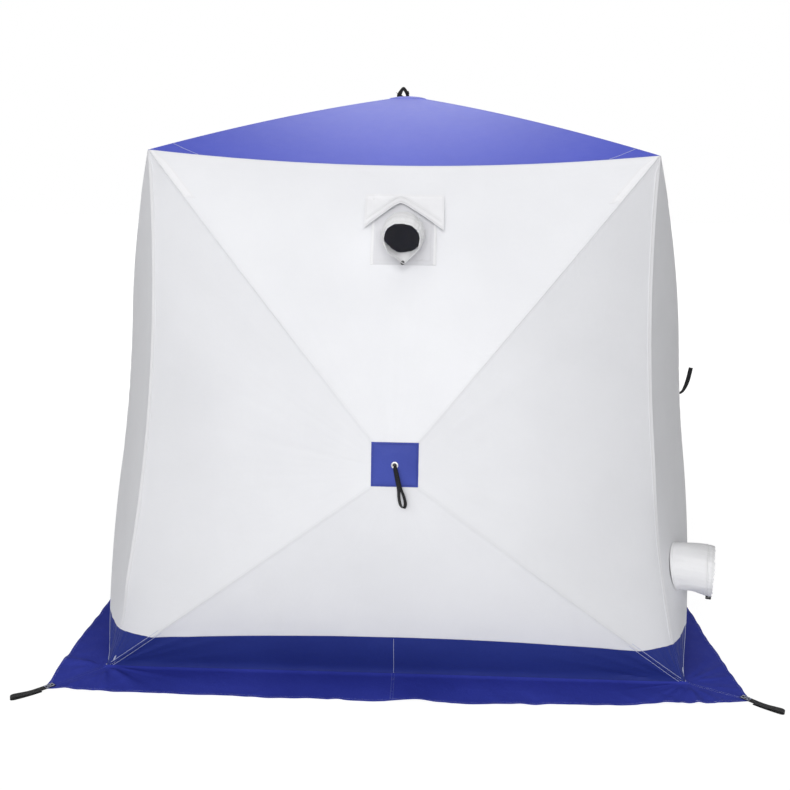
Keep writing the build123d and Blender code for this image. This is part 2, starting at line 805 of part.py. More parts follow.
def side_vent_plane() -> Plane:
    """Middle of the low side vent on the inner face of its gore, before it is turned."""
    gore = wall_gores()["left"]
    reach = side_vent_bore / 2
    middle, near, far, below, above = (
        find_on_gore(gore, side_vent_along + across * reach, side_vent_height + up * reach).origin
        for across, up in ((0, 0), (-1, 0), (1, 0), (0, -1), (0, 1))
    )
    return Plane(origin=middle, x_dir=far - near, z_dir=(far - near).cross(above - below))


def mouth_plane(base: Plane, length: float, sag: float, turn: float = 0.0) -> Plane:
    """Mouth of a sleeve that runs level out of the wall and hangs by its sag."""
    outward = Vector(-sin(radians(turn)), -cos(radians(turn)), 0)
    origin = base.origin + outward * length - Vector(0, 0, sag)
    return Plane(origin=origin, x_dir=Vector(1, 0, 0), z_dir=outward)


def cord_lock(mouth: Plane, drop: float) -> Part:
    """Barrel cord lock with its cord hole, lying under a sleeve's mouth."""
    plane = Plane(
        origin=mouth.origin + Vector(0, cord_lock_length, -drop - cord_lock_radius),
        x_dir=mouth.x_dir,
        z_dir=mouth.z_dir,
    )
    with BuildPart() as lock:
        with BuildSketch(plane):
            Circle(cord_lock_radius)
        extrude(amount=cord_lock_length)
        fillet(lock.edges(), cord_lock_radius / 4)
        with BuildSketch(Plane(origin=plane.offset(cord_lock_length / 2).origin, z_dir=plane.x_dir)):
            Circle(cord_lock_radius / 3)
        extrude(amount=cord_lock_radius * 2, both=True, mode=Mode.SUBTRACT)
    return lock.part


def build_front_vent() -> Part:
    """High front vent with its patch and rain flap; returns its cord lock."""
    patch_back = front_patch_plane()
    with BuildPart() as patch:
        with BuildSketch(patch_back):
            Rectangle(vent_patch_width, vent_patch_height)
            Circle(vent_bore / 2, mode=Mode.SUBTRACT)
        extrude(amount=patch_thickness)
    keep(patch, "front_vent_patch")

    base = patch_back.offset(patch_thickness + layer_gap)
    half = flap_width / 2
    slope = radians(flap_hem_slope)
    peak = (vent_bore / 2 + sleeve_wall + flap_clearance) / cos(slope)
    low = peak - half * tan(slope)
    top = peak + flap_crown
    with BuildPart() as flap:
        with BuildSketch(base):
            with BuildLine():
                Polyline((-half, low), (0, peak), (half, low), (half, top), (-half, top), close=True)
            make_face()
        extrude(amount=cloth)
    keep(flap, "front_vent_flap")

    mouth = mouth_plane(base, front_sleeve_length, front_sleeve_sag)
    tube = tube_between(base, vent_bore, mouth, vent_mouth)
    with BuildPart() as sleeve:
        add(tube)
    keep(sleeve, "front_vent_sleeve")
    return cord_lock(mouth, vent_mouth / 2 + sleeve_wall + seam_gap)


def build_side_vent() -> Part:
    """Low sleeve of the right wall, modelled on the front wall; returns its cord lock."""
    base = side_vent_plane().offset(cloth + 4 * layer_gap)
    mouth = mouth_plane(base, side_sleeve_length, side_sleeve_sag, side_sleeve_turn)
    tube = tube_between(base, side_vent_bore, mouth, side_vent_mouth)
    with BuildPart() as sleeve:
        add(tube)
    place(sleeve, side_angles["right"], "side_vent_sleeve")
    return cord_lock(mouth, side_vent_mouth / 2 + sleeve_wall + 2 * seam_gap)


def build_vents() -> None:
    """Both vents and the cord locks under their mouths."""
    front_lock = build_front_vent()
    side_lock = build_side_vent()
    with BuildPart() as locks:
        add(front_lock)
        with Locations(turned(side_angles["right"])):
            add(side_lock)
    keep(locks, "vent_cord_locks")


# ---- rear door ---------------------------------------------------------------------------------------
def build_door() -> None:
    """Closed door panel, the zip round its arc and the slider at its crown."""
    gore = wall_gores()["left"]
    panel_cloth = build_gore(gore, hub_share)
    panel_outline = door_region(-seam_gap)
    with BuildPart() as panel:
        add(panel_cloth)
        add(panel_outline, mode=Mode.INTERSECT)
    place(panel, side_angles["rear"], "rear_door_panel")

    tape_cloth = build_gore(gore, hub_share, lift=cloth + layer_gap, thickness=zip_thickness)
    tape_outline = door_region(zip_width / 2)
    tape_inside = door_region(-zip_width / 2)
    with BuildPart() as door_zip:
        add(tape_cloth)
        add(tape_outline, mode=Mode.INTERSECT)
        add(tape_inside, mode=Mode.SUBTRACT)
    place(door_zip, side_angles["rear"], "rear_door_zip")

    crown = find_on_gore(gore, door_hinge_along + door_reach, (door_bottom + door_top) / 2)
    with BuildPart() as slider:
        with BuildSketch(crown.offset(cloth + 2 * layer_gap + zip_thickness)):
            RectangleRounded(slider_width, slider_length, slider_width / 3)
        extrude(amount=slider_thickness)
        fillet(slider.faces().sort_by(Axis.Y)[0].edges(), slider_thickness / 4)
    place(slider, side_angles["rear"], "rear_door_slider")


# ---- the whole shelter -------------------------------------------------------------------------------
def build_all() -> None:
    """Build and write every piece."""
    os.makedirs("parts", exist_ok=True)
    openings = {
        "front": {"top": vent_cutter(front_vent_plane(), vent_bore)},
        "right": {"left": vent_cutter(side_vent_plane(), side_vent_bore)},
        "rear": {"left": door_region(seam_gap)},
        "left": {},
    }
    for name, angle in side_angles.items():
        build_wall(name, openings[name])
        build_band(name)
        build_skirt(name)
        build_rods(wall_rods(), name, angle)
        build_hub(wall_rods(), name, angle)
        build_hub_patch(wall_rods(), list(wall_gores().values()), name, angle)
    build_roof()
    build_rods(roof_rods(), "roof", 0)
    build_hub(roof_rods(), "roof", 0)
    build_hub_patch(roof_rods(), [roof_gore()], "roof", 0)
    build_pockets()
    build_grommets()
    build_pull_loops()
    build_tie_loops()
    build_vents()
    build_door()


build_all()
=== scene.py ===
"""Pop-up hub shelter for ice fishing: its cloth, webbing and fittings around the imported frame."""

import logging
import math
from collections.abc import Callable, Sequence
from dataclasses import dataclass, field
from enum import Enum

import bmesh
import bpy
import numpy as np
from mathutils import Euler, Matrix, Vector, noise


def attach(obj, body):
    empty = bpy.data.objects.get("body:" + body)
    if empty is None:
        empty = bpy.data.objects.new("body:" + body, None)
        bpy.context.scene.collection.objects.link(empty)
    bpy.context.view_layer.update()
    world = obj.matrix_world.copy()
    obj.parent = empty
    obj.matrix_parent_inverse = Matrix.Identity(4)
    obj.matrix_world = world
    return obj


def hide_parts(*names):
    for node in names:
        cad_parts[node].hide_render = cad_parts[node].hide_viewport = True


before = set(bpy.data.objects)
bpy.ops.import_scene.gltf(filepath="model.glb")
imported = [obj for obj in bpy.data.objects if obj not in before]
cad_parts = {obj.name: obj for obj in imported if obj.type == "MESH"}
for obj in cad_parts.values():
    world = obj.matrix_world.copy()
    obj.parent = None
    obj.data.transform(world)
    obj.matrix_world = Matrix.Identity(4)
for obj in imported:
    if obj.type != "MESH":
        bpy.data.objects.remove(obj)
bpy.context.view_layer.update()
LOG = logging.getLogger("shelter")
Points = np.ndarray
Piece = bpy.types.Object
Colour = tuple[float, float, float]
Pair = tuple[float, float]
Grid = tuple[int, int]
Maps = dict[str, Points]
Lay = Callable[[Points, Points], Points]
Marks = Callable[[Points, Points], Maps]
Edge = Callable[[Points], Points] | float
Shares = Callable[[Points, Points], tuple]
Rod = tuple[Points, list[list[int]]]


# ---- sizes shared by all the cloth ----


class Side(Enum):
    """A side of the shelter, with its turn about the upright axis in degrees."""

    FRONT = 0
    RIGHT = 90
    REAR = 180
    LEFT = 270

    @property
    def label(self) -> str:
        """Lower-case name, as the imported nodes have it."""
        return self.name.lower()


@dataclass(frozen=True)
class Shape:
    """Outline of the shelter, in metres."""

    base_half: float = 1.05
    top_half: float = 0.874
    eave: float = 1.852
    hub_height: float = 0.835
    hub_reach: float = 1.245
    roof_peak: float = 2.130
    cloth: float = 0.0025
    wall_bow: float = 0.028
    roof_bow: float = 0.016
    corner_bow: float = 0.077
    eave_in: float = 0.050
    eave_down: float = 0.042
    ground_bow: float = 0.004
    band_corner: float = 0.130
    band_middle: float = 0.175
    skirt_width: float = 0.190
    skirt_corner: float = 0.172
    hub_share: float = 0.0563
    hub_rise: float = 0.016
    flare: float = 0.013
    flare_loss: float = 0.55
    corner_slack: float = 0.013

    def upper(self, side: int) -> Points:
        """Upper corner of the front wall."""
        return np.array([side * self.top_half, -self.top_half, self.eave])

    def lower(self, side: int) -> Points:
        """Lower corner of the front wall."""
        return np.array([side * self.base_half, -self.base_half, 0.0])

    def wall_axis(self) -> Points:
        """Outward axis of the front hub."""
        peak = np.array([0.0, -self.hub_reach, self.hub_height])
        up, low = self.upper(1) - peak, self.lower(1) - peak
        up_run, low_run = math.hypot(up[0], up[2]), math.hypot(low[0], low[2])
        excess = math.atan2(up[1], up_run) - math.atan2(low[1], low_run)
        lean = excess / (up[2] / up_run - low[2] / low_run)
        return np.array([0.0, -math.cos(lean), math.sin(lean)])

    def band_line(self, x: Points) -> Points:
        """Height of the seam between wall and ground band."""
        rise = self.band_middle - self.band_corner
        radius = (rise**2 + self.base_half**2) / (2 * rise)
        return self.band_middle - (radius - np.sqrt(radius**2 - x**2))


SHAPE = Shape()
# How far the noise behind each cloth's waves moves on for each degree from one side to the next.
WALL_SEED, ROOF_SEED, SKIRT_SEED = 0.37, 0.53, 0.21
# Power that keeps what is done at a corner close to that corner.
CORNER_SHARPNESS = 16
# Points of one sheet closer than this are one point.
WELD = 0.00005
# A slanting direction that no stitch or tooth follows, from which their frames are set.
ASKEW = (0.31, 0.52, 0.79)


def unit(vectors: Points) -> Points:
    """Vectors of length one."""
    return vectors / np.linalg.norm(vectors, axis=-1, keepdims=True)


def ease(share: Points, low: float = 0.0, high: float = 1.0) -> Points:
    """Smooth step from 0 at low to 1 at high."""
    t = np.clip((share - low) / (high - low), 0, 1)
    return t * t * (3 - 2 * t)


def ripple(a: Points, b: Points, seed: float) -> Points:
    """Smooth noise over two coordinates, from about -1 to 1."""
    return np.array([noise.noise(Vector((x, y, seed))) for x, y in zip(a, b)])


def turn(points: Points, degrees: float) -> Points:
    """Points turned about the upright axis."""
    a = math.radians(degrees)
    spin = np.array([[math.cos(a), -math.sin(a), 0], [math.sin(a), math.cos(a), 0], [0, 0, 1]])
    return points @ spin.T


@dataclass(frozen=True)
class Gore:
    """One triangular gore between two bowed seams, in the place of the front wall."""

    peak: Points
    first: Points
    second: Points
    outward: Points
    bow: float
    pull: Points
    seed: float = 0.0
    wrinkle: float = 0.0022

    def seam(self, corner: Points, t: Points) -> Points:
        """Points at share t of the seam from the peak to a corner."""
        chord = unit(corner - self.peak)
        lift = unit(self.outward - chord * self.outward.dot(chord))
        t = t[:, None]
        return self.peak * (1 - t) + corner * t + lift * (self.bow * 4 * t * (1 - t))

    def length(self) -> float:
        """From the peak to the middle of the outer edge."""
        return float(np.linalg.norm((self.first + self.second) / 2 - self.peak))

    def half_width(self) -> float:
        """Half of the outer edge."""
        return float(np.linalg.norm(self.first - self.second)) / 2

    def frame_at(self, t: Points) -> tuple[Points, Points, Points, Points]:
        """Middle, direction across, outward direction and half width at share t."""
        a, b = self.seam(self.first, t), self.seam(self.second, t)
        across = unit(b - a)
        facing = self.outward * (1 - t[:, None]) - unit(self.pull) * t[:, None]
        facing = unit(facing - across * (facing * across).sum(1, keepdims=True))
        return (a + b) / 2, across, facing, np.linalg.norm(b - a, axis=1) / 2

    def crease(self, t: Points, s: Points) -> Points:
        """Height of the cloth's own waves: lines of tension that fan out from the hub."""
        fan = ripple(s * 5.5, t * 0.9, self.seed) + 0.4 * ripple(s * 15, t * 1.6, self.seed + 7)
        broad = ripple(s * 1.7 * t, t * 2.3, self.seed + 3)
        calm = np.clip(1 - s**2, 0, 1) ** 0.8 * ease(t, 0.04, 0.3) * ease(1 - t, 0.0, 0.12)
        return self.wrinkle * (0.8 * fan + 1.2 * broad) * calm

    def point(self, t: Points, s: Points, lift: float = 0.0) -> Points:
        """Points of the outer face, s from -1 on the first seam to 1 on the second."""
        middle, across, facing, half = self.frame_at(t)
        sag = np.linalg.norm(self.pull) * t**2 * (1 - s**2)
        rise = SHAPE.cloth + lift - sag + self.crease(t, s)
        return middle + across * (half * s)[:, None] + facing * rise[:, None]

    def locate(self, a: Points, b: Points, axes: tuple[int, int] = (0, 2)) -> tuple[Points, Points]:
        """Shares t and s at which two coordinates of the outer face have the given values."""
        goal, step = np.stack([a, b], 1), 1e-4
        t, s = np.full(len(goal), 0.3), np.zeros(len(goal))
        for _ in range(14):
            here = self.point(t, s)[:, axes]
            dt = (self.point(t + step, s)[:, axes] - here) / step
            ds = (self.point(t, s + step)[:, axes] - here) / step
            miss = goal - here
            det = dt[:, 0] * ds[:, 1] - dt[:, 1] * ds[:, 0]
            t = t + (miss[:, 0] * ds[:, 1] - miss[:, 1] * ds[:, 0]) / det
            s = s + (dt[:, 0] * miss[:, 1] - dt[:, 1] * miss[:, 0]) / det
            t, s = np.clip(t, 0.01, 1.2), np.clip(s, -1.3, 1.3)
        return t, s

    def marks(self, t: Points, s: Points, end: Points | float = 1.0) -> Maps:
        """Distances on the flat cloth: across and along, from both seams, from the outer edge."""
        length, half = self.length(), self.half_width() * t
        lean = math.cos(math.atan2(self.half_width(), length))
        run = t * math.hypot(length, self.half_width())
        return {
            "cloth": np.stack([half * s, t * length], 1),
            "seams": np.stack([half * (1 + s) * lean, half * (1 - s) * lean], 1),
            "edge": np.stack([(end - t) * length, run], 1),
        }


def wall_gores(seed: float = 0.0) -> dict[str, Gore]:
    """The four gores of the front wall."""
    peak = np.array([0.0, -SHAPE.hub_reach, SHAPE.hub_height])
    axis, bow, inward = SHAPE.wall_axis(), SHAPE.wall_bow, SHAPE.corner_bow / 2**0.5
    eave = np.array([0.0, SHAPE.eave_in, -SHAPE.eave_down])
    up, low = SHAPE.upper, SHAPE.lower
    return {
        "top": Gore(peak, up(-1), up(1), axis, bow, eave, seed + 1),
        "left": Gore(peak, low(-1), up(-1), axis, bow, np.array([inward, inward, 0]), seed + 2),
        "right": Gore(peak, up(1), low(1), axis, bow, np.array([-inward, inward, 0]), seed + 3),
        "bottom": Gore(peak, low(1), low(-1), axis, bow, np.array([0, SHAPE.ground_bow, 0]), seed + 4),
    }


def roof_gore(seed: float = 0.0) -> Gore:
    """The roof gore over the front wall."""
    peak = np.array([0.0, 0.0, SHAPE.roof_peak])
    eave = np.array([0.0, SHAPE.eave_in, -SHAPE.eave_down])
    up = np.array([0.0, 0.0, 1.0])
    return Gore(peak, SHAPE.upper(1), SHAPE.upper(-1), up, SHAPE.roof_bow, eave, seed + 5)


# ---- finishes ----


class Graph:
    """Short calls that build the nodes of a material or a world."""

    def __init__(self, owner: bpy.types.Material | bpy.types.World, empty: bool = False) -> None:
        """Take up the owner's nodes, or start with none."""
        owner.use_nodes = True
        self.nodes = owner.node_tree.nodes
        self.links = owner.node_tree.links
        if empty:
            self.nodes.clear()

    def node(self, kind: str, inputs: dict | None = None, **settings: object) -> bpy.types.Node:
        """Add a node, set its properties and link or set its inputs."""
        made = self.nodes.new(kind)
        for key, value in settings.items():
            setattr(made, key, value)
        for key, value in (inputs or {}).items():
            self.feed(made.inputs[key], value)
        return made

    def feed(self, socket: bpy.types.NodeSocket, value: object) -> None:
        """Link a socket to another, or set it."""
        if isinstance(value, bpy.types.NodeSocket):
            self.links.new(value, socket)
        else:
            socket.default_value = value

    def math(self, operation: str, a: object, b: object = 0.0, clamp: bool = False) -> object:
        """One arithmetic step."""
        made = self.node("ShaderNodeMath", {0: a, 1: b}, operation=operation, use_clamp=clamp)
        return made.outputs[0]

    def blend(self, factor: object, a: object, b: object) -> object:
        """Mix of two colours."""
        made = self.node("ShaderNodeMix", data_type="RGBA")
        self.feed(made.inputs["Factor"], factor)
        self.feed(made.inputs[6], a)
        self.feed(made.inputs[7], b)
        return made.outputs[2]

    def ramp(self, value: object, low: float, high: float, start: float = 0, end: float = 1) -> object:
        """Value carried from one range to another, with smooth ends."""
        return self.node(
            "ShaderNodeMapRange",
            {0: value, 1: low, 2: high, 3: start, 4: end},
            interpolation_type="SMOOTHSTEP",
        ).outputs[0]

    def noise(self, vector: object, scale: float, detail: float = 2.0, rough: float = 0.5) -> object:
        """Noise value over a vector."""
        return self.node(
            "ShaderNodeTexNoise",
            {"Vector": vector, "Scale": scale, "Detail": detail, "Roughness": rough},
        ).outputs["Fac"]

    def place(self) -> object:
        """Object coordinates."""
        return self.node("ShaderNodeTexCoord").outputs["Object"]

    def map(self, name: str) -> tuple[object, object]:
        """Both values of a UV map."""
        source = self.node("ShaderNodeUVMap", uv_map=name)
        parts = self.node("ShaderNodeSeparateXYZ", {0: source.outputs[0]})
        return parts.outputs[0], parts.outputs[1]

    def bump(self, height: object, depth: float, strength: float, under: object = None) -> object:
        """Bump of a height over another bump."""
        made = self.node("ShaderNodeBump", {"Height": height, "Distance": depth, "Strength": strength})
        if under is not None:
            self.links.new(under, made.inputs["Normal"])
        return made.outputs[0]

    def set(self, **values: object) -> None:
        """Link or set inputs of the principled shader."""
        for key, value in values.items():
            self.feed(self.nodes["Principled BSDF"].inputs[key.replace("_", " ")], value)

    def seen_directly(self) -> object:
        """One for rays from the camera, a mirror or glass, and nothing for the light on things."""
        path = self.node("ShaderNodeLightPath").outputs
        total = path["Is Camera Ray"]
        for ray in ("Is Glossy Ray", "Is Transmission Ray"):
            total = self.math("MAXIMUM", total, path[ray])
        return total

    def finish(self, kind: str, share: object, a: bpy.types.Node, b: bpy.types.Node) -> None:
        """Send a mix of two shaders to the output."""
        mix = self.node("ShaderNodeMixShader", {0: share, 1: a.outputs[0], 2: b.outputs[0]})
        self.node(kind, {0: mix.outputs[0]})


@dataclass(frozen=True)
class Finish:
    """What every finish has: a name, a colour and a material that is made once."""

    name: str
    colour: Colour

    def material(self) -> bpy.types.Material:
        """The finish's material."""
        name = f"{self.name}_look"
        if name not in bpy.data.materials:
            self.paint(Graph(bpy.data.materials.new(name)))
        return bpy.data.materials[name]

    def paint(self, g: Graph) -> None:
        """Build the nodes of the material."""
        raise NotImplementedError


@dataclass(frozen=True)
class ClothFinish(Finish):
    """Coated polyester cloth: weave, fine crinkles, puckered and stitched seams, and, where given, painted
    light towards the middle.
    """

    shade: Colour
    thread: Colour
    yarn: float = 0.0009
    weave: float = 0.18
    crinkle: float = 0.5
    roughness: float = 0.55
    sheen: float = 0.1
    seam_dark: float = 0.08
    gloss: float = 0.35
    # Painted light: a lighter colour blended in towards the upright axis, for the brighter middle of the
    # roof.
    glow: Colour | None = None

    def paint(self, g: Graph) -> None:
        """Build the nodes of the cloth."""
        place = g.place()
        across, along = g.map("cloth")
        first, second = g.map("seams")
        edge, run = g.map("edge")
        seam = g.math("MINIMUM", first, second)
        nearest = g.math("MINIMUM", seam, edge)
        broad = g.noise(place, 2.3, 3)
        fine = g.noise(place, 420, 2)
        tone = g.math("ADD", g.math("MULTIPLY", broad, 0.75), g.math("MULTIPLY", fine, 0.25))
        colour = g.blend(g.ramp(tone, 0.3, 0.7), (*self.shade, 1), (*self.colour, 1))
        # Painted light: lighter towards the middle, by distance from the upright axis.
        if self.glow:
            level = g.node("ShaderNodeVectorMath", {0: place, 1: (1, 1, 0)}, operation="MULTIPLY")
            reach = g.node("ShaderNodeVectorMath", {0: level.outputs[0]}, operation="LENGTH")
            colour = g.blend(g.ramp(reach.outputs["Value"], 0.15, 1.25, 1, 0), colour, (*self.glow, 1))
        close = g.ramp(nearest, 0.0, 0.012, self.seam_dark, 0.0)
        colour = g.blend(close, colour, (*[c * 0.45 for c in self.colour], 1))
        colour = g.blend(self.thread_mask(g, nearest, run, across), colour, (*self.thread, 1))
        turns = 2 * math.pi / self.yarn
        warp = g.math("SINE", g.math("MULTIPLY", across, turns))
        weft = g.math("SINE", g.math("MULTIPLY", along, turns))
        normal = g.bump(g.math("MULTIPLY", warp, weft), 0.0002, self.weave)
        creases = g.noise(place, 26, 5, 0.62)
        normal = g.bump(creases, 0.0035, self.crinkle, normal)
        rows = g.node("ShaderNodeCombineXYZ", {0: g.math("MULTIPLY", run, 55), 1: across}).outputs[0]
        pucker = g.math("MULTIPLY", g.noise(rows, 1.0, 3), g.ramp(nearest, 0.0, 0.03, 1.0, 0.0))
        normal = g.bump(pucker, 0.0022, 0.7, normal)
        g.set(
            Base_Color=colour,
            Roughness=g.ramp(creases, 0.2, 0.8, self.roughness - 0.06, self.roughness + 0.08),
            Specular_IOR_Level=self.gloss,
            Sheen_Weight=self.sheen,
            Sheen_Roughness=0.35,
            Normal=normal,
        )

    @staticmethod
    def thread_mask(g: Graph, distance: object, run: object, across: object) -> object:
        """Where a row of stitches shows, six millimetres in from each edge."""
        off = g.math("ABSOLUTE", g.math("SUBTRACT", distance, 0.006))
        row = g.ramp(off, 0.0003, 0.0007, 1, 0)
        step = g.math("FRACT", g.math("MULTIPLY", g.math("ADD", run, across), 1 / 0.0042))
        return g.math("MULTIPLY", row, g.ramp(step, 0.62, 0.72, 0.6, 0.0))


@dataclass(frozen=True)
class WebbingFinish(Finish):
    """Woven webbing with ribs across it, their crests given a painted highlight."""

    rib: float = 0.0014

    def paint(self, g: Graph) -> None:
        """Build the nodes of the webbing."""
        across, along = g.map("cloth")
        chevron = g.math("MULTIPLY", g.math("PINGPONG", across, 0.003), 1.4)
        rib = g.math("SINE", g.math("MULTIPLY", g.math("ADD", along, chevron), 2 * math.pi / self.rib))
        warp = g.math("SINE", g.math("MULTIPLY", across, 2 * math.pi / 0.0011))
        height = g.math("ADD", g.math("MULTIPLY", rib, 0.6), g.math("MULTIPLY", warp, 0.4))
        fuzz = g.noise(g.place(), 900, 3)
        # Painted highlight: the raised ribs are blended to a lighter colour than the hollows.
        light = tuple(min(1.0, c * 1.8 + 0.004) for c in self.colour)
        colour = g.blend(g.ramp(height, -0.5, 1.0, 0.0, 0.7), (*self.colour, 1), (*light, 1))
        normal = g.bump(height, 0.0004, 0.6, g.bump(fuzz, 0.0006, 0.4))
        g.set(Base_Color=colour, Roughness=g.ramp(fuzz, 0.2, 0.8, 0.62, 0.8), Normal=normal)
        g.set(Sheen_Weight=0.04, Sheen_Roughness=0.4, Specular_IOR_Level=0.2)


class Surface(Enum):
    """How a hard finish is textured, with the stretch of its grain along each axis."""

    MOULDED = (1, 1, 1)
    BRUSHED = (1, 6, 1)
    PULTRUDED = (1, 1, 0.12)


@dataclass(frozen=True)
class HardFinish(Finish):
    """Moulded plastic, worn metal or glass-fibre rod."""

    surface: Surface
    roughness: float = 0.4
    metallic: float = 0.0

    def paint(self, g: Graph) -> None:
        """Build the nodes of the hard surface."""
        place = g.place()
        grain = g.node("ShaderNodeMapping", {"Vector": place, "Scale": self.surface.value}).outputs[0]
        fine, broad = g.noise(grain, 650, 4), g.noise(place, 24, 3)
        dark = tuple(c * 0.72 for c in self.colour)
        worn = tuple(min(1.0, c * 1.25 + 0.01) for c in self.colour)
        mix = g.blend(g.ramp(broad, 0.35, 0.65), (*dark, 1), (*self.colour, 1))
        mix = g.blend(g.ramp(fine, 0.55, 0.75, 0, 0.4), mix, (*worn, 1))
        rough = g.ramp(fine, 0.3, 0.7, self.roughness - 0.08, self.roughness + 0.1)
        g.set(Base_Color=mix, Roughness=rough, Metallic=self.metallic, Normal=g.bump(fine, 0.0003, 0.35))


WHITE = ClothFinish(
    "wall_cloth", (0.80, 0.805, 0.83), (0.76, 0.765, 0.79), (0.68, 0.69, 0.71), sheen=0.05, crinkle=0.28
)
SLEEVE = ClothFinish("sleeve_cloth", (0.82, 0.82, 0.83), (0.77, 0.77, 0.785), (0.6, 0.6, 0.6), crinkle=0.8)
# The ground band and the skirt are one blue cloth: the band's darker copy paints its shade, the skirt's
# lighter copy paints the light from above.
BLUE = ClothFinish(
    "blue_cloth", (0.021, 0.036, 0.220), (0.016, 0.028, 0.185), (0.16, 0.19, 0.46),
    crinkle=0.55, sheen=0.02, gloss=0.18,
)
SKIRT_BLUE_LIT = ClothFinish(
    "skirt_cloth", (0.040, 0.055, 0.380), (0.026, 0.038, 0.290), (0.16, 0.19, 0.46),
    crinkle=0.7, roughness=0.7, sheen=0.0, gloss=0.06,
)
PATCH_BLUE = ClothFinish(
    "hub_patch_cloth", (0.062, 0.088, 0.410), (0.046, 0.066, 0.320), (0.03, 0.04, 0.20),
    crinkle=0.6, roughness=0.6, sheen=0.02, gloss=0.15,
)
# The roof's blue, with painted light towards its middle.
ROOF_BLUE = ClothFinish(
    "roof_cloth", (0.098, 0.125, 0.620), (0.085, 0.110, 0.560), (0.22, 0.26, 0.66),
    crinkle=0.4, roughness=0.6, sheen=0.02, gloss=0.15, glow=(0.34, 0.37, 0.98),
)
POCKET = ClothFinish("pocket_cloth", (0.62, 0.62, 0.62), (0.52, 0.52, 0.53), (0.3, 0.3, 0.3), crinkle=0.9)
# Grey of the vent patch: partly the patch's own grey cloth, partly painted shade of the flap above it.
PATCH = ClothFinish(
    "patch_cloth", (0.71, 0.71, 0.73), (0.66, 0.66, 0.69), (0.5, 0.5, 0.5), crinkle=0.6, seam_dark=0.04
)
STRIP = ClothFinish(
    "strip_cloth", (0.83, 0.83, 0.85), (0.80, 0.80, 0.82), (0.66, 0.66, 0.66), crinkle=0.4, sheen=0.06
)
TAPE = ClothFinish("zip", (0.02, 0.02, 0.022), (0.014, 0.014, 0.016), (0.05, 0.05, 0.05), crinkle=0.3)
WHITE_THREAD = ClothFinish("white_thread", (0.72, 0.72, 0.72), (0.6, 0.6, 0.6), (0.6, 0.6, 0.6))
PALE_THREAD = ClothFinish("pale_thread", (0.55, 0.58, 0.74), (0.45, 0.48, 0.66), (0.6, 0.6, 0.6))
BLUE_THREAD = ClothFinish("blue_thread", (0.012, 0.014, 0.10), (0.01, 0.012, 0.08), (0.01, 0.01, 0.05))
WEBBING = WebbingFinish("webbing", (0.008, 0.008, 0.009))
ROD = HardFinish("rod", (0.70, 0.68, 0.60), Surface.PULTRUDED, 0.32)
HUB = HardFinish("hub_plastic", (0.028, 0.028, 0.032), Surface.MOULDED, 0.5)
STEEL = HardFinish("grommet", (0.62, 0.62, 0.63), Surface.BRUSHED, 0.3, 1.0)
DARK_STEEL = HardFinish("slider", (0.33, 0.33, 0.34), Surface.BRUSHED, 0.36, 1.0)
LOCK = HardFinish("cord_lock", (0.014, 0.014, 0.016), Surface.MOULDED, 0.34)


# ---- making pieces ----


def deselect() -> None:
    """Leave nothing selected."""
    for chosen in bpy.context.selected_objects:
        chosen.select_set(False)


def lay_panel(name: str, columns: int, rows: int, lay: Lay, marks: Marks) -> Piece:
    """Add a grid and lay it as cloth.

    Args:
        name: The panel's name.
        columns: Faces across.
        rows: Faces along.
        lay: Gives the points for shares across and along, both from 0 to 1.
        marks: Gives the UV maps for the same shares.

    Returns:
        The panel's object.
    """
    deselect()
    bpy.ops.mesh.primitive_grid_add(x_subdivisions=columns, y_subdivisions=rows, size=2)
    panel = bpy.context.active_object
    panel.name = panel.data.name = name
    mesh = panel.data
    flat = np.empty(len(mesh.vertices) * 3)
    mesh.vertices.foreach_get("co", flat)
    u, v = ((flat.reshape(-1, 3)[:, :2] + 1) / 2).T
    mesh.vertices.foreach_set("co", np.ascontiguousarray(lay(u, v), dtype=np.float32).ravel())
    corner = np.empty(len(mesh.loops), dtype=np.int32)
    mesh.loops.foreach_get("vertex_index", corner)
    mesh.uv_layers.remove(mesh.uv_layers[0])
    for map_name, values in marks(u, v).items():
        layer = mesh.uv_layers.new(name=map_name)
        layer.data.foreach_set("uv", values[corner].astype(np.float32).ravel())
    mesh.update()
    return panel


def plain_marks(width: float, length: float) -> Marks:
    """UV maps of a plain rectangle of cloth, in metres."""

    def marks(u: Points, v: Points) -> Maps:
        """Distances on a rectangle."""
        x, y = u * width, v * length
        return {
            "cloth": np.stack([x, y], 1),
            "seams": np.stack([x, width - x], 1),
            "edge": np.stack([np.minimum(y, length - y), x + y], 1),
        }

    return marks


def join(name: str, parts: Sequence[Piece], weld: float = 0.0) -> Piece:
    """Join pieces into one object, and weld points closer than a distance."""
    deselect()
    for part in parts:
        part.select_set(True)
    bpy.context.view_layer.objects.active = parts[0]
    if len(parts) > 1:
        bpy.ops.object.join()
    piece = parts[0]
    piece.name = piece.data.name = name
    if weld:
        shape = bmesh.new()
        shape.from_mesh(piece.data)
        bmesh.ops.remove_doubles(shape, verts=shape.verts, dist=weld)
        shape.to_mesh(piece.data)
        shape.free()
    return piece


def apply_modifier(piece: Piece, kind: str, **settings: object) -> None:
    """Add a modifier with its settings and apply it."""
    modifier = piece.modifiers.new(kind.lower(), kind)
    for key, value in settings.items():
        setattr(modifier, key, value)
    deselect()
    bpy.context.view_layer.objects.active = piece
    piece.select_set(True)
    bpy.ops.object.modifier_apply(modifier=modifier.name)


def thicken(piece: Piece, thickness: float, offset: float = -1.0) -> None:
    """Give a sheet its thickness; an offset of -1 puts it all inward."""
    apply_modifier(piece, "SOLIDIFY", thickness=thickness, offset=offset, use_even_offset=True)


def rest(piece: Piece) -> None:
    """Lift what hangs below the ground up to it."""
    for vertex in piece.data.vertices:
        vertex.co.z = max(vertex.co.z, 0.0)


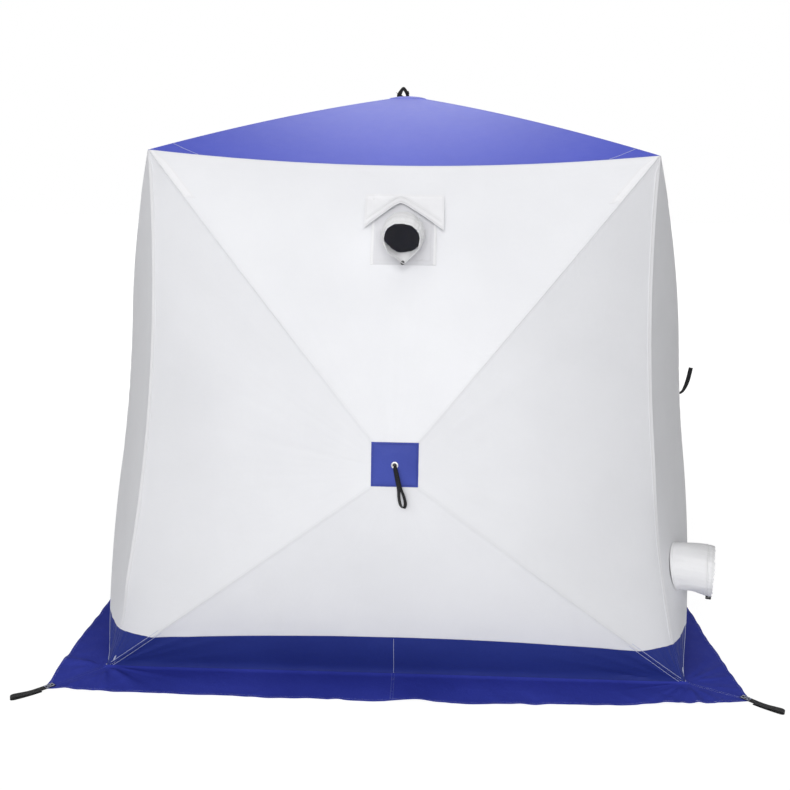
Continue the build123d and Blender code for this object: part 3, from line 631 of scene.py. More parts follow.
def smooth(piece: Piece, degrees: float = 30.0) -> None:
    """Shade smooth, with an edge where faces meet at more than the angle."""
    deselect()
    bpy.context.view_layer.objects.active = piece
    piece.select_set(True)
    bpy.ops.object.shade_smooth_by_angle(angle=math.radians(degrees))


def dress(piece: Piece, finish: Finish, slot: str, *nodes: str) -> None:
    """Give a new piece its finish and body, and hide the nodes that it stands for."""
    piece.data.materials.clear()
    piece.data.materials.append(finish.material())
    if nodes:
        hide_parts(*nodes)
    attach(piece, "root")
    LOG.info("%s: %d faces", piece.name, len(piece.data.polygons))


def make_sheet(piece: Piece, thickness: float, degrees: float, welded: bool = False) -> None:
    """Make a laid grid into cloth.

    Args:
        piece: The grid.
        thickness: Of the cloth, all inward of its outer face.
        degrees: Angle past which an edge is shaded sharp.
        welded: Whether the grid closes on itself and is joined there first.
    """
    if welded:
        join(piece.name, [piece], WELD)
    face_out(piece)
    thicken(piece, thickness)
    smooth(piece, degrees)


def cut_level(piece: Piece, spot: Points, normal: Points, keep_above: bool) -> Piece:
    """Cut a panel by a plane and keep one side of it."""
    shape = bmesh.new()
    shape.from_mesh(piece.data)
    bmesh.ops.bisect_plane(
        shape,
        geom=shape.verts[:] + shape.edges[:] + shape.faces[:],
        plane_co=Vector(spot),
        plane_no=Vector(normal),
        clear_inner=keep_above,
        clear_outer=not keep_above,
    )
    shape.to_mesh(piece.data)
    shape.free()
    return piece


def along_line(line: Points) -> Points:
    """Distance from a line's start to each of its points."""
    return np.concatenate([[0], np.cumsum(np.linalg.norm(np.diff(line, axis=0), axis=1))])


def curve_through(points: Sequence[Sequence[float]], count: int) -> Points:
    """Evenly spread points on a smooth curve through the given ones."""
    knots = np.array(points, dtype=float)
    ghost = np.vstack([2 * knots[0] - knots[1], knots, 2 * knots[-1] - knots[-2]])
    fine = []
    for k in range(len(knots) - 1):
        p0, p1, p2, p3 = ghost[k : k + 4]
        t = np.linspace(0, 1, 24, endpoint=k == len(knots) - 2)[:, None]
        fine.append(
            0.5
            * (
                2 * p1
                + (p2 - p0) * t
                + (2 * p0 - 5 * p1 + 4 * p2 - p3) * t**2
                + (3 * p1 - p0 - 3 * p2 + p3) * t**3
            )
        )
    line = np.vstack(fine)
    walk = along_line(line)
    at = np.linspace(0, walk[-1], count)
    return np.stack([np.interp(at, walk, line[:, k]) for k in range(line.shape[1])], 1)


def strap(name: str, path: Points, widths: Points, thickness: float) -> Piece:
    """Flat webbing along a path.

    Args:
        name: The strap's name.
        path: Points along its middle.
        widths: At each point, the vector from the middle to one selvedge.
        thickness: Of the webbing.

    Returns:
        The strap's object.
    """
    rows = len(path) - 1
    walk = along_line(path)
    width = 2 * float(np.linalg.norm(widths[0]))

    def lay(u: Points, v: Points) -> Points:
        """Points across and along the strap."""
        row = np.rint(v * rows).astype(int)
        return path[row] + widths[row] * (2 * u[:, None] - 1)

    def marks(u: Points, v: Points) -> Maps:
        """Distances across and along the strap."""
        run = walk[np.rint(v * rows).astype(int)]
        return {"cloth": np.stack([u * width, run], 1)}

    piece = lay_panel(name, 8, rows, lay, marks)
    thicken(piece, thickness, 0.0)
    smooth(piece, 40)
    return piece


def cylinder(sides: int, radius: float, length: float, place: Matrix | None = None) -> Piece:
    """A solid cylinder along Z, or put in its place, with no UV map."""
    deselect()
    bpy.ops.mesh.primitive_cylinder_add(vertices=sides, radius=radius, depth=length)
    solid = bpy.context.active_object
    solid.data.uv_layers.remove(solid.data.uv_layers[0])
    if place:
        solid.data.transform(place)
    return solid


def small_rod(sides: int, radius: float, length: float) -> Rod:
    """Points and faces of a rod along Z, which is modelled once and copied."""
    master = cylinder(sides, radius, length)
    points = np.array([v.co for v in master.data.vertices])
    faces = [list(p.vertices) for p in master.data.polygons]
    bpy.data.objects.remove(master)
    return points, faces


def copy_rod(name: str, rod: Rod, spots: Points, frames: Points) -> Piece:
    """One piece of many copies of a rod.

    Args:
        name: The piece's name.
        rod: Points and faces of the rod.
        spots: Middle of each copy.
        frames: Directions of each copy's own axes.

    Returns:
        The piece.
    """
    shape, faces = rod
    points = spots[:, None, :] + shape @ frames
    polygons = [[k * len(shape) + i for i in face] for k in range(len(spots)) for face in faces]
    mesh = bpy.data.meshes.new(name)
    mesh.from_pydata(points.reshape(-1, 3).tolist(), [], polygons)
    piece = bpy.data.objects.new(name, mesh)
    bpy.context.collection.objects.link(piece)
    return piece


@dataclass(frozen=True)
class Thread:
    """Sewing thread that shows as a row of short stitches."""

    radius: float = 0.0004
    stitch: float = 0.0034
    pitch: float = 0.0046
    start: float = 0.003
    stop: float = 0.002

    def sew(self, name: str, lines: Sequence[Points]) -> Piece:
        """Rows of stitches along lines."""
        spots, frames = [], []
        for line in lines:
            steps = np.diff(line, axis=0)
            walk = along_line(line)
            at = np.arange(self.start, walk[-1] - self.stop, self.pitch)
            k = np.minimum(np.searchsorted(walk, at, side="right") - 1, len(steps) - 1)
            along = unit(steps[k])
            side = unit(np.cross(along, ASKEW))
            spots.append(line[k] + along * (at - walk[k])[:, None])
            frames.append(np.stack([side, np.cross(along, side), along], 1))
        rod = small_rod(5, self.radius, self.stitch)
        piece = copy_rod(name, rod, np.vstack(spots), np.vstack(frames))
        for map_name in ("cloth", "seams", "edge"):
            piece.data.uv_layers.new(name=map_name)
        return piece


# ---- walls, bands, skirts and roof ----


def solve(value: Callable[[Points], Points], low: Points, high: Points) -> Points:
    """Where a falling function crosses zero between low and high, by halving."""
    for _ in range(36):
        middle = (low + high) / 2
        above = value(middle) > 0
        low, high = np.where(above, middle, low), np.where(above, high, middle)
    return (low + high) / 2


def tuck(spots: Points) -> Points:
    """Spots with the slack that the corner seams take up above the ground band."""
    x, y, z = spots.T
    near, far = np.minimum(np.abs(x), np.abs(y)), np.maximum(np.abs(x), np.abs(y))
    corner = (near / far) ** CORNER_SHARPNESS
    high = np.where((x > 0) & (y < 0), 0.85, 0.34)
    above_band = ease(z, 0.0, SHAPE.band_corner)
    depth = SHAPE.corner_slack * corner * above_band * (1 - ease(z / high, 0.5, 1.0))
    shift = np.stack([np.sign(x) * depth, np.sign(y) * depth, 0 * z], 1)
    return spots - shift / math.sqrt(2)


def wall_face(gores: dict[str, Gore], x: Points, z: Points) -> Points:
    """Depth of the front wall's outer face, as y, at places around its hub."""
    up = z - SHAPE.hub_height
    rise = (SHAPE.eave - SHAPE.hub_height) / SHAPE.top_half
    fall = SHAPE.hub_height / SHAPE.base_half
    regions = {"top": up >= np.abs(x) * rise, "bottom": -up >= np.abs(x) * fall}
    beside = ~(regions["top"] | regions["bottom"])
    regions["left"], regions["right"] = beside & (x < 0), beside & (x >= 0)
    depth = np.zeros(len(x))
    for name, inside in regions.items():
        if inside.any():
            t, s = gores[name].locate(x[inside], z[inside])
            depth[inside] = gores[name].point(t, s)[:, 1]
    return depth


def rim(u: Points, half_width: float, half_height: float) -> tuple[Points, Points]:
    """Places round the border of a rectangle, for shares of the way round."""
    side = np.floor(4 * u + 1e-6).astype(int) % 4
    w = 2 * (4 * u - np.floor(4 * u + 1e-6)) - 1
    one = np.ones_like(w)
    a = np.choose(side, [one, -w, -one, w]) * half_width
    b = np.choose(side, [w, one, -w, -one]) * half_height
    return a, b


def holed(u: Points, v: Points, width: float, height: float, hole: float) -> tuple[Points, Points]:
    """Places on a rectangle with a round hole, u round it and v from the hole to the border."""
    a, b = rim(u, width / 2, height / 2)
    reach = np.hypot(a, b)
    share = (hole + (reach - hole) * v) / reach
    return a * share, b * share


def patch_marks(width: float, height: float, hole: float) -> Marks:
    """UV maps of a rectangle with a round hole."""

    def marks(u: Points, v: Points) -> Maps:
        """Distances on the patch."""
        a, b = holed(u, v, width, height, hole)
        return {
            "cloth": np.stack([a, b], 1),
            "seams": np.stack([width / 2 - np.abs(a), height / 2 - np.abs(b)], 1),
            "edge": np.stack([np.full(len(a), 0.5), a + b], 1),
        }

    return marks


def sewn_frame(width: float, height: float, inset: float) -> tuple[Points, Points]:
    """Places of a row of stitches round a rectangle."""
    return rim(np.linspace(0, 0.9999, 161), width / 2 - inset, height / 2 - inset)


@dataclass
class WallSide:
    """Wall cloth, ground band and the seam between them, on one side."""

    side: Side
    flare_height: float = 0.040
    crease: float = 0.0085
    band_cloth: float = 0.0016
    wall_grid: Grid = (84, 76)
    band_grid: Grid = (170, 22)
    tip_grid: Grid = (40, 40)
    tip_width: float = 0.22
    tip_top: float = 0.80
    gores: dict[str, Gore] = field(init=False)

    def __post_init__(self) -> None:
        """Give this side its own waves."""
        self.gores = wall_gores(self.side.value * WALL_SEED)

    def band_share(self, s: Points) -> Points:
        """Share t of the bottom gore where the ground band starts."""
        gore = self.gores["bottom"]

        def over(t: Points) -> Points:
            """Height above the seam."""
            spot = gore.point(t, s)
            return spot[:, 2] - SHAPE.band_line(spot[:, 0])

        return solve(over, np.full(len(s), 0.5), np.ones(len(s)))

    def band_cut(self, name: str) -> tuple[Points, Points]:
        """Plane that parts wall and band on a side gore: a spot on it and its upward normal."""
        gore = self.gores[name]
        low = -1.0 if name == "left" else 1.0
        edge = np.array([low])
        t = self.band_share(np.array([-low]))
        start = self.gores["bottom"].point(t, np.array([-low]))[0]

        def over(s: Points) -> Points:
            """Depth below the seam, along the outer edge."""
            spot = gore.point(np.ones(1), s)
            return SHAPE.band_line(spot[:, 0]) - spot[:, 2]

        end = gore.point(np.ones(1), solve(over, edge, np.zeros(1)))[0]
        normal = np.cross(end - start, gore.outward)
        return start, normal if normal[2] > 0 else -normal

    def field_lift(self, spots: Points) -> Points:
        """Spots with the flare of the ground line and the creases that gather at the corners."""
        x, y, z = spots.T
        spots = spots.copy()
        low = np.clip(1 - z / self.flare_height, 0, 1) ** 2
        corner = (np.abs(x) / np.maximum(np.abs(y), 1e-6)) ** CORNER_SHARPNESS
        amount = SHAPE.flare * (1 - SHAPE.flare_loss * corner) * low
        spots[:, 1] -= amount
        spots[:, 0] += np.sign(x) * corner * amount
        for end in (-1, 1):
            run = np.abs(end * SHAPE.base_half - x)
            radius = np.hypot(run, z)
            angle = np.arctan2(z, np.maximum(run, 1e-6))
            wave = ripple(angle * 8.5, radius * 1.5, end * 5.1 + self.side.value)
            wave += 0.55 * ripple(angle * 21, radius * 2.5, end * 3.3 + self.side.value)
            calm = ease(z, 0.0, 0.030) * ease(radius, 0.02, 0.11) * np.exp(-radius / 0.30)
            line = SHAPE.band_line(np.clip(x, -SHAPE.base_half, SHAPE.base_half))
            calm *= ease(line + 0.06 - z, 0.0, 0.08)
            seam = z - run * SHAPE.hub_height / SHAPE.base_half
            calm *= ease(np.abs(seam), 0.0, 0.022)
            spots[:, 1] -= self.crease * wave * calm
        return spots

    def on(self, gore_name: str, t: Points, s: Points, lift: float = 0.0) -> Points:
        """Points on the wall's outer face, or lifted off it, in their place round the shelter."""
        spots = self.field_lift(self.gores[gore_name].point(t, s, lift))
        return tuck(turn(spots, self.side.value))

    def over(self, gore_name: str, x: Points, z: Points, lift: float) -> Points:
        """Points lifted off the wall at places seen from outside it."""
        return self.on(gore_name, *self.gores[gore_name].locate(x, z), lift)

    def laid(self, gore_name: str, end: str, grid: Grid, shares: Shares) -> Piece:
        """Cloth on one gore, for the shares along and across at each point of its grid."""
        return lay_panel(
            f"{self.side.label}_{gore_name}{end}",
            *grid,
            lambda u, v: self.on(gore_name, *shares(u, v)[:2]),
            lambda u, v: self.gores[gore_name].marks(*shares(u, v)),
        )

    def panel(self, gore_name: str, low: Edge, high: Edge, grid: Grid | None = None) -> Piece:
        """One gore's cloth between two shares, which may differ from column to column."""

        def shares(u: Points, v: Points) -> tuple[Points, Points, Points]:
            """Shares along and across for a point of the grid, and where the panel ends."""
            s = 2 * u - 1
            start = low(s) if callable(low) else low
            end = high(s) if callable(high) else high
            return start + (end - start) * v, s, end

        return self.laid(gore_name, "", grid or self.wall_grid, shares)

    def tip(self, gore_name: str) -> Piece:
        """The blue lower tip of a side gore, before it is cut from the wall."""
        near = -1.0 if gore_name == "left" else 1.0

        def shares(u: Points, v: Points) -> tuple[Points, Points]:
            """Shares along and across, in the corner of the gore."""
            s = near * (1 - self.tip_width * (u if near < 0 else 1 - u))
            return self.tip_top + (1 - self.tip_top) * v, s

        return self.laid(gore_name, "_tip", self.tip_grid, shares)

    def cut(self, piece: Piece, gore_name: str, keep_above: bool) -> Piece:
        """Part a side gore along the seam of the ground band."""
        spot, normal = self.band_cut(gore_name)
        angle = self.side.value
        return cut_level(piece, turn(spot, angle), turn(normal, angle), keep_above)

    def build(self, openings: dict[str, Callable[[Piece], None]], area: float) -> None:
        """Build and dress the wall cloth and the ground band.

        Args:
            openings: What cuts the vent or door, by the name of its gore.
            area: Flat area of the wall cloth in square metres; not used.
        """
        label = self.side.label
        hub, share = SHAPE.hub_share, self.band_share
        parts = {"top": self.panel("top", hub, 1.0), "bottom": self.panel("bottom", hub, share)}
        for name in ("left", "right"):
            parts[name] = self.cut(self.panel(name, hub, 1.0), name, True)
        for name, part in parts.items():
            thicken(part, SHAPE.cloth)
            if name in openings:
                openings[name](part)
        wall = join(f"{label}_wall_cloth", list(parts.values()))
        smooth(wall, 20)
        dress(wall, WHITE, "wall_cloth", f"{label}_wall")
        strips = [self.panel("bottom", share, 1.0, self.band_grid)]
        strips += [self.cut(self.tip(name), name, False) for name in ("left", "right")]
        band = join(f"{label}_band_cloth", strips, 0.0012)
        thicken(band, self.band_cloth)
        rest(band)
        smooth(band, 24)
        # The band's blue is the darker copy of the skirt's cloth: painted shade.
        dress(band, BLUE, "blue_cloth", f"{label}_ground_band")


# How far two corners of the skirt lie from their even place, by the signs of their x and y.
CORNER_SHIFTS = {(1, -1): (0.030, 0.050), (-1, -1): (0.003, -0.006)}


def skirt_corner(side: Side, end: int) -> Points:
    """Corner of the skirt at one end of a side, in the frame of the front."""
    reach = SHAPE.base_half + SHAPE.skirt_corner
    spot = turn(np.array([[end * reach, -reach, 0.0]]), side.value)[0]
    shift = CORNER_SHIFTS.get((int(np.sign(spot[0])), int(np.sign(spot[1]))), (0.0, 0.0))
    return turn(spot[None, :] + np.array([[*shift, 0.0]]), -side.value)[0]


@dataclass
class SnowSkirt:
    """The skirt of one side: mitred at the corners, waved along its hem, creased at the corners."""

    side: Side
    hem_wave: float = 0.008
    lift: float = 0.014
    crease: float = 0.017
    thickness: float = 0.0016
    end_lift: float = 0.0022
    root_lift: float = 0.006
    root_share: float = 0.10
    length: float = 2.3
    width: float = 0.185
    mitre_slope: float = 0.74
    hem_share: float = 0.955
    mitre_share: float = 0.0022
    seam_half: float = 0.0015
    thread_lift: float = 0.0008
    grid: Grid = (320, 34)

    def ground_line(self, x: Points) -> Points:
        """Where the ground band meets the ground."""
        share = np.clip(np.abs(x) / SHAPE.base_half, 0, 1)
        bow = SHAPE.ground_bow * (1 - share**2)
        flare = SHAPE.flare * (1 - SHAPE.flare_loss * share**CORNER_SHARPNESS)
        return -(SHAPE.base_half + SHAPE.cloth - bow + flare)

    def point(self, u: Points, v: Points) -> Points:
        """Points of the upper face, u along the side and v from the band to the hem."""
        s = 2 * u - 1
        inner = -self.ground_line(np.array([SHAPE.base_half]))[0]
        root_x = s * inner
        root_y = np.where(np.abs(s) > 0.999, -inner, self.ground_line(s * SHAPE.base_half))
        corner = SHAPE.base_half + SHAPE.skirt_corner
        hem = SHAPE.base_half + SHAPE.skirt_width
        seed = self.side.value * SKIRT_SEED
        still = ease(1 - np.abs(s), 0.0, 0.06)
        wave = ripple(s * 7, s * 0, seed) + 0.5 * ripple(s * 19, s * 0, seed + 2)
        wave = wave + 0.4 * ripple(s * 26, s * 0, seed + 9) * np.abs(s) ** 3
        hem_y = -(corner + (hem - corner) * (1 - s**2)) + self.hem_wave * wave * still
        hem_x = s * corner
        for end in (-1, 1):
            shift = skirt_corner(self.side, end) - np.array([end * corner, -corner, 0.0])
            pull = np.clip(end * s, 0, 1) ** 3
            hem_x, hem_y = hem_x + shift[0] * pull, hem_y + shift[1] * pull
        x = root_x + (hem_x - root_x) * v
        y = root_y + (hem_y - root_y) * v
        rise = ripple(s * 6.0, v * 0.7, seed + 4) + 0.4 * ripple(s * 17, v * 1.5, seed + 6)
        z = self.lift * np.clip(rise, 0, 1) * v**1.5 * still
        for end in (-1, 1):
            run, out = inner - end * x, -y - inner
            radius = np.hypot(run, out)
            angle = np.arctan2(np.maximum(out, 0), run)
            fold = ripple(angle * 3.4, radius * 1.2, seed + end) + 0.2 * ripple(angle * 8, radius, seed)
            calm = np.exp(-radius / 0.19) * ease(radius, 0.0, 0.08) * ease(angle, 0.0, 0.25)
            root = np.array([end * inner, -inner])
            seam = unit(skirt_corner(self.side, end)[:2] - root)
            off = end * ((x - root[0]) * seam[1] - (y - root[1]) * seam[0])
            mitre = ease(off, 0.0, 0.07)
            z += self.crease * np.clip(fold + 0.25, 0, 1.2) * calm * mitre
        z += self.end_lift * v**2 * (1 - still)
        z += self.root_lift * np.clip(1 - v / self.root_share, 0, 1) ** 2
        return np.stack([x, y, z + self.thickness], 1)

    def build(self) -> None:
        """Build and dress the skirt."""
        angle, label = self.side.value, self.side.label

        def marks(u: Points, v: Points) -> Maps:
            """Distances on the skirt."""
            x, y = (u - 0.5) * self.length, v * self.width
            middle = np.abs(x) + 0.0005
            mitre = (self.length / 2 - np.abs(x)) * self.mitre_slope
            return {
                "cloth": np.stack([x, y], 1),
                "seams": np.stack([middle, np.maximum(mitre, 0)], 1),
                "edge": np.stack([self.width - y, x], 1),
            }

        piece = lay_panel(
            f"{label}_skirt_cloth", *self.grid, lambda u, v: turn(self.point(u, v), angle), marks
        )
        thicken(piece, self.thickness)
        smooth(piece, 40)
        # The skirt's blue is the lighter copy of the band's cloth: painted light from above.
        dress(piece, SKIRT_BLUE_LIT, "blue_cloth", f"{label}_snow_skirt")

    def stitch_lines(self) -> list[Points]:
        """Hem, mitres and middle seam."""
        angle = self.side.value
        run, span = np.linspace(0.004, 0.996, 420), np.linspace(0.03, 0.97, 50)
        rows = [self.point(run, np.full(len(run), self.hem_share))]
        for u in (self.mitre_share, 1 - self.mitre_share, 0.5 - self.seam_half, 0.5 + self.seam_half):
            rows.append(self.point(np.full(len(span), u), span))
        return [turn(row + np.array([0, 0, self.thread_lift]), angle) for row in rows]


@dataclass
class Roof:
    """Roof cloth of four gores, with a row of stitches across each corner."""

    grid: Grid = (84, 84)
    thread_lift: float = 0.0006

    @staticmethod
    def shares(u: Points, v: Points) -> tuple[Points, Points]:
        """Shares along and across a gore, from the hub to the eave."""
        return SHAPE.hub_share + (1 - SHAPE.hub_share) * v, 2 * u - 1

    def build(self) -> None:
        """Build and dress the roof."""
        parts = []
        for side in Side:
            gore = roof_gore(side.value * ROOF_SEED)

            def lay(u: Points, v: Points, gore: Gore = gore, side: Side = side) -> Points:
                """Points of one gore."""
                return turn(gore.point(*self.shares(u, v)), side.value)

            def marks(u: Points, v: Points, gore: Gore = gore) -> Maps:
                """Distances on one gore."""
                return gore.marks(*self.shares(u, v))

            parts.append(lay_panel(f"roof_{side.label}", *self.grid, lay, marks))
            thicken(parts[-1], SHAPE.cloth)
        roof = join("roof_cloth", parts)
        smooth(roof, 20)
        dress(roof, ROOF_BLUE, "blue_cloth", "roof")

    def corner_rows(self) -> list[Points]:
        """Row of stitches across each corner of each gore, from its hip to the eave."""
        t, s = np.linspace(0.925, 0.998, 40), np.linspace(0.995, 0.81, 40)
        rows = []
        for side in Side:
            gore = roof_gore(side.value * ROOF_SEED)
            rows += [turn(gore.point(t, end * s, self.thread_lift), side.value) for end in (-1, 1)]
        return rows


@dataclass(frozen=True)
class SeamStrip:
    """Cloth strip over a rod pocket, sewn beside a seam near its corner."""

    gore: Gore
    on_second: bool
    turn: float
    length: float = 0.22
    width: float = 0.030
    lift: float = 0.0009
    end_gap: float = 0.001
    grid: Grid = (6, 44)

    def spot(self, u: Points, v: Points) -> Points:
        """Points of the strip, u from the seam and v from the corner."""
        end = self.gore.second if self.on_second else self.gore.first
        run = float(np.linalg.norm(end - self.gore.peak))
        t = 1 - v * self.length / run - self.end_gap
        lean = math.cos(math.atan2(self.gore.half_width(), self.gore.length()))
        reach = self.width * ease(v, -0.2, 0.35) * u / (self.gore.half_width() * t * lean)
        s = 1 - reach if self.on_second else reach - 1
        return turn(self.gore.point(t, s, self.lift), self.turn)

    def build(self, name: str) -> Piece:
        """Lay the strip."""
        return lay_panel(name, *self.grid, self.spot, plain_marks(self.width, self.length))


@dataclass
class HubPatch:
    """Square of cloth sewn over a hub, with its eye for the pull loop."""

    name: str
    side: Side
    on_roof: bool = False
    width: float = 0.155
    wall_height: float = 0.146
    eye: float = 0.009
    crown: float = 0.043
    crown_depth: float = 0.0018
    border_lift: float = 0.0016
    ripples: float = 0.0009
    thickness: float = 0.0013
    stitch_inset: float = 0.006
    stitch_lift: float = 0.0004
    grid: Grid = (112, 26)

    def size(self) -> Pair:
        """Width and height of the patch; on the roof it is square."""
        return (self.width, self.width if self.on_roof else self.wall_height)

    def centre(self) -> Points:
        """Middle of the hub's outer face, with the cloth over it."""
        if self.on_roof:
            return np.array([0.0, 0.0, SHAPE.roof_peak - self.crown_depth])
        axis = SHAPE.wall_axis()
        up = unit(np.array([0.0, axis[2], -axis[1]]))
        hub = np.array([0, -SHAPE.hub_reach, SHAPE.hub_height])
        return hub - axis * self.crown_depth + up * SHAPE.hub_rise

    def skin(self, a: Points, b: Points) -> Points:
        """Height of the cloth under the patch along the facing axis."""
        if self.on_roof:
            swap = np.abs(a) > np.abs(b)
            across, out = np.where(swap, b, a), -np.maximum(np.abs(a), np.abs(b))
            gore = roof_gore()
            t, s = gore.locate(across, out, (0, 1))
            return gore.point(t, s)[:, 2]
        return -wall_face(wall_gores(self.side.value * WALL_SEED), a, self.centre()[2] + b)

    def point(self, a: Points, b: Points, lift: float = 0.0) -> Points:
        """Points of the patch's face."""
        width, height = self.size()
        middle = self.centre()
        share = np.maximum(np.maximum(np.abs(a) / width, np.abs(b) / height) * 2, 1e-6)
        border = self.skin(a / share, b / share) + self.border_lift
        slope = 0.0 if self.on_roof else -SHAPE.wall_axis()[2] / SHAPE.wall_axis()[1]
        level = (middle[2] if self.on_roof else -middle[1]) - slope * b
        radius = np.hypot(a, b)
        fall = np.clip((radius - self.crown) / (radius / share - self.crown), 0, 1)
        fall = 0.55 * fall + 0.45 * fall**2
        angle = np.arctan2(b, a)
        wave = ripple(np.cos(angle) * 3, np.sin(angle) * 3, 4.0 + self.side.value)
        stand = level * (1 - fall) + border * fall + lift
        stand = stand + self.ripples * wave * ease(share, 0.5, 0.8) * ease(1 - share, 0.0, 0.2)
        if self.on_roof:
            return np.stack([a, b, stand], 1)
        return turn(np.stack([a, -stand, middle[2] + b], 1), self.side.value)

    def build(self) -> None:
        """Build and dress the patch."""
        piece = lay_panel(
            f"{self.name}_patch_cloth",
            *self.grid,
            lambda u, v: self.point(*holed(u, v, *self.size(), self.eye)),
            patch_marks(*self.size(), self.eye),
        )
        make_sheet(piece, self.thickness, 30, welded=True)
        # The roof patch takes the roof's blue, with its painted light in the middle.
        finish = ROOF_BLUE if self.on_roof else PATCH_BLUE
        dress(piece, finish, "blue_cloth", f"{self.name}_hub_patch")
        self.size()

    def sewing(self) -> Points:
        """Row of stitches inside the border."""
        return self.point(*sewn_frame(*self.size(), self.stitch_inset), lift=self.stitch_lift)


@dataclass
class PullLoops:
    """Webbing loops through the eyes of the hub patches."""

    thickness: float = 0.0016
    half_width: float = 0.009
    swing: float = math.radians(13)
    eye_half: float = 0.0058
    neck_half: float = 0.0076
    points: int = 120

    def closed(self, spread: Sequence[Sequence[float]]) -> Points:
        """Offset and distance along a loop, down one leg and up the other."""
        back = [(-offset, run) for offset, run in spread[-2::-1]]
        return curve_through([*spread, *back], self.points)

    def twisted(
        self, side: Side, middle: Points, path: Points, across: Points, out: Points, twist: Points, neck: Pair
    ) -> Piece:
        """Lay the webbing of a wall's loop.

        Args:
            side: The wall.
            middle: Line between the loop's two legs, at each point of the path.
            path: Offset from that line and distance along it.
            across: Direction of the webbing's width before it is twisted.
            out: Direction of its face before it is twisted.
            twist: Turn of the webbing in degrees, at each point of the path.
            neck: Distances at which it is gathered and full.

        Returns:
            The loop.
        """
        lean = np.radians(twist)[:, None]
        flat = across * np.cos(lean) + out * np.sin(lean)
        face = out * np.cos(lean) - across * np.sin(lean)
        half = np.interp(path[:, 1], [0, *neck], [self.eye_half, self.neck_half, self.half_width])
        line, wide = turn(middle + face * path[:, :1], side.value), turn(flat * half[:, None], side.value)
        return strap(f"{side.label}_loop_webbing", line, wide, self.thickness)

    def hanging(self, side: Side) -> Piece:
        """The loop of a wall that hangs from its eye and opens at its end."""
        spread = [(0, 0), (0.0012, 0.010), (0.0015, 0.046), (0.0036, 0.076), (0.0092, 0.106)]
        spread += [(0.0090, 0.132), (0.0, 0.1440)]
        path = self.closed(spread)
        axis = SHAPE.wall_axis()
        up = unit(np.array([0.0, axis[2], -axis[1]]))
        right = np.array([1.0, 0.0, 0.0])
        down = right * math.sin(self.swing) - up * math.cos(self.swing)
        across = right * math.cos(self.swing) + up * math.sin(self.swing)
        run = path[:, 1]
        twist = 40 + 18 * ease(run, 0.035, 0.10)
        lift = np.interp(run, [0, 0.006, 0.02, 0.06, 0.144], [-0.006, 0.004, 0.0085, 0.010, 0.005])
        start = HubPatch(side.label, side).centre() + axis * 0.001
        middle = start + down * run[:, None] + axis * lift[:, None]
        return self.twisted(side, middle, path, across, axis, twist, (0.010, 0.035))

    def raised(self) -> Piece:
        """The loop of the right wall, which stands out and turns upward."""
        bend = [(-0.006, 0.0), (0.004, 0.0), (0.018, 0.003), (0.030, 0.013), (0.041, 0.037)]
        bend += [(0.049, 0.066), (0.054, 0.095), (0.058, 0.121)]
        centre = curve_through(bend, 200)
        walk = along_line(centre)
        total = walk[-1]
        spread = [(0, 0), (0.0011, 0.012), (0.0013, total * 0.5), (0.0016, total * 0.9), (0.0, total)]
        path = self.closed(spread)
        run = path[:, 1]
        spot = np.stack([np.interp(run, walk, centre[:, k]) for k in (0, 1)], 1)
        ahead = np.stack([np.interp(run + 0.003, walk, centre[:, k]) for k in (0, 1)], 1)
        behind = np.stack([np.interp(run - 0.003, walk, centre[:, k]) for k in (0, 1)], 1)
        way = unit(ahead - behind)
        out, up = np.array([0.0, -1.0, 0.0]), np.array([0.0, 0.0, 1.0])
        side_on = out * way[:, 1:] - up * way[:, :1]
        along = np.array([1.0, 0.0, 0.0])
        twist = 40 + 50 * ease(run / total, 0.1, 0.7)
        middle = HubPatch("right", Side.RIGHT).centre() + out * spot[:, :1] + up * spot[:, 1:]
        return self.twisted(Side.RIGHT, middle, path, along, side_on, twist, (0.012, 0.04))

    def standing(self) -> Piece:
        """The loop on the roof, knotted on one leg."""
        base = SHAPE.roof_peak
        bend = [(-0.004, -0.010), (-0.020, -0.001), (-0.030, 0.003), (-0.027, 0.014), (-0.014, 0.0335)]
        bend += [(-0.006, 0.029), (0.003, 0.014), (0.006, 0.003), (0.002, -0.010)]
        centre = curve_through(bend, 90)
        way = unit(np.gradient(centre, axis=0))
        line = np.stack([centre[:, 0] - 0.009, 0 * centre[:, 0], base + centre[:, 1]], 1)
        edge = np.stack([-way[:, 1], np.zeros(len(way)), way[:, 0]], 1)
        flat = unit(edge * 0.8 + np.array([0.0, 0.6, 0.0]))
        half = 0.0080 + 0.0034 * np.exp(-(((centre[:, 0] + 0.030) / 0.008) ** 2))
        band = strap("roof_loop_band", line, flat * half[:, None], 0.0020)
        turns = np.linspace(0, 2 * math.pi * 2.1, 70)
        lean = np.array([0.30, 0.0, -0.954])
        side = np.array([0.954, 0.0, 0.30])
        spread = 0.0062 + 0.0010 * np.sin(turns * 1.7)
        wrap = side * np.cos(turns)[:, None] + np.array([0.0, 1.0, 0.0]) * np.sin(turns)[:, None]
        middle = np.array([-0.0045, 0.0, base + 0.0165])
        coil = middle + wrap * spread[:, None] + lean * (turns / turns[-1] - 0.5)[:, None] * 0.008
        knot = strap("roof_loop_knot", coil, np.tile(lean * 0.0034, (70, 1)), 0.0018)
        return join("roof_loop_webbing", [band, knot])

    def build(self) -> None:
        """Build and dress all five loops."""
        loops = {side.label: self.hanging(side) for side in Side if side != Side.RIGHT}
        loops["right"] = self.raised()
        loops["roof"] = self.standing()
        for name, loop in loops.items():
            dress(loop, WEBBING, "webbing", f"{name}_pull_loop")


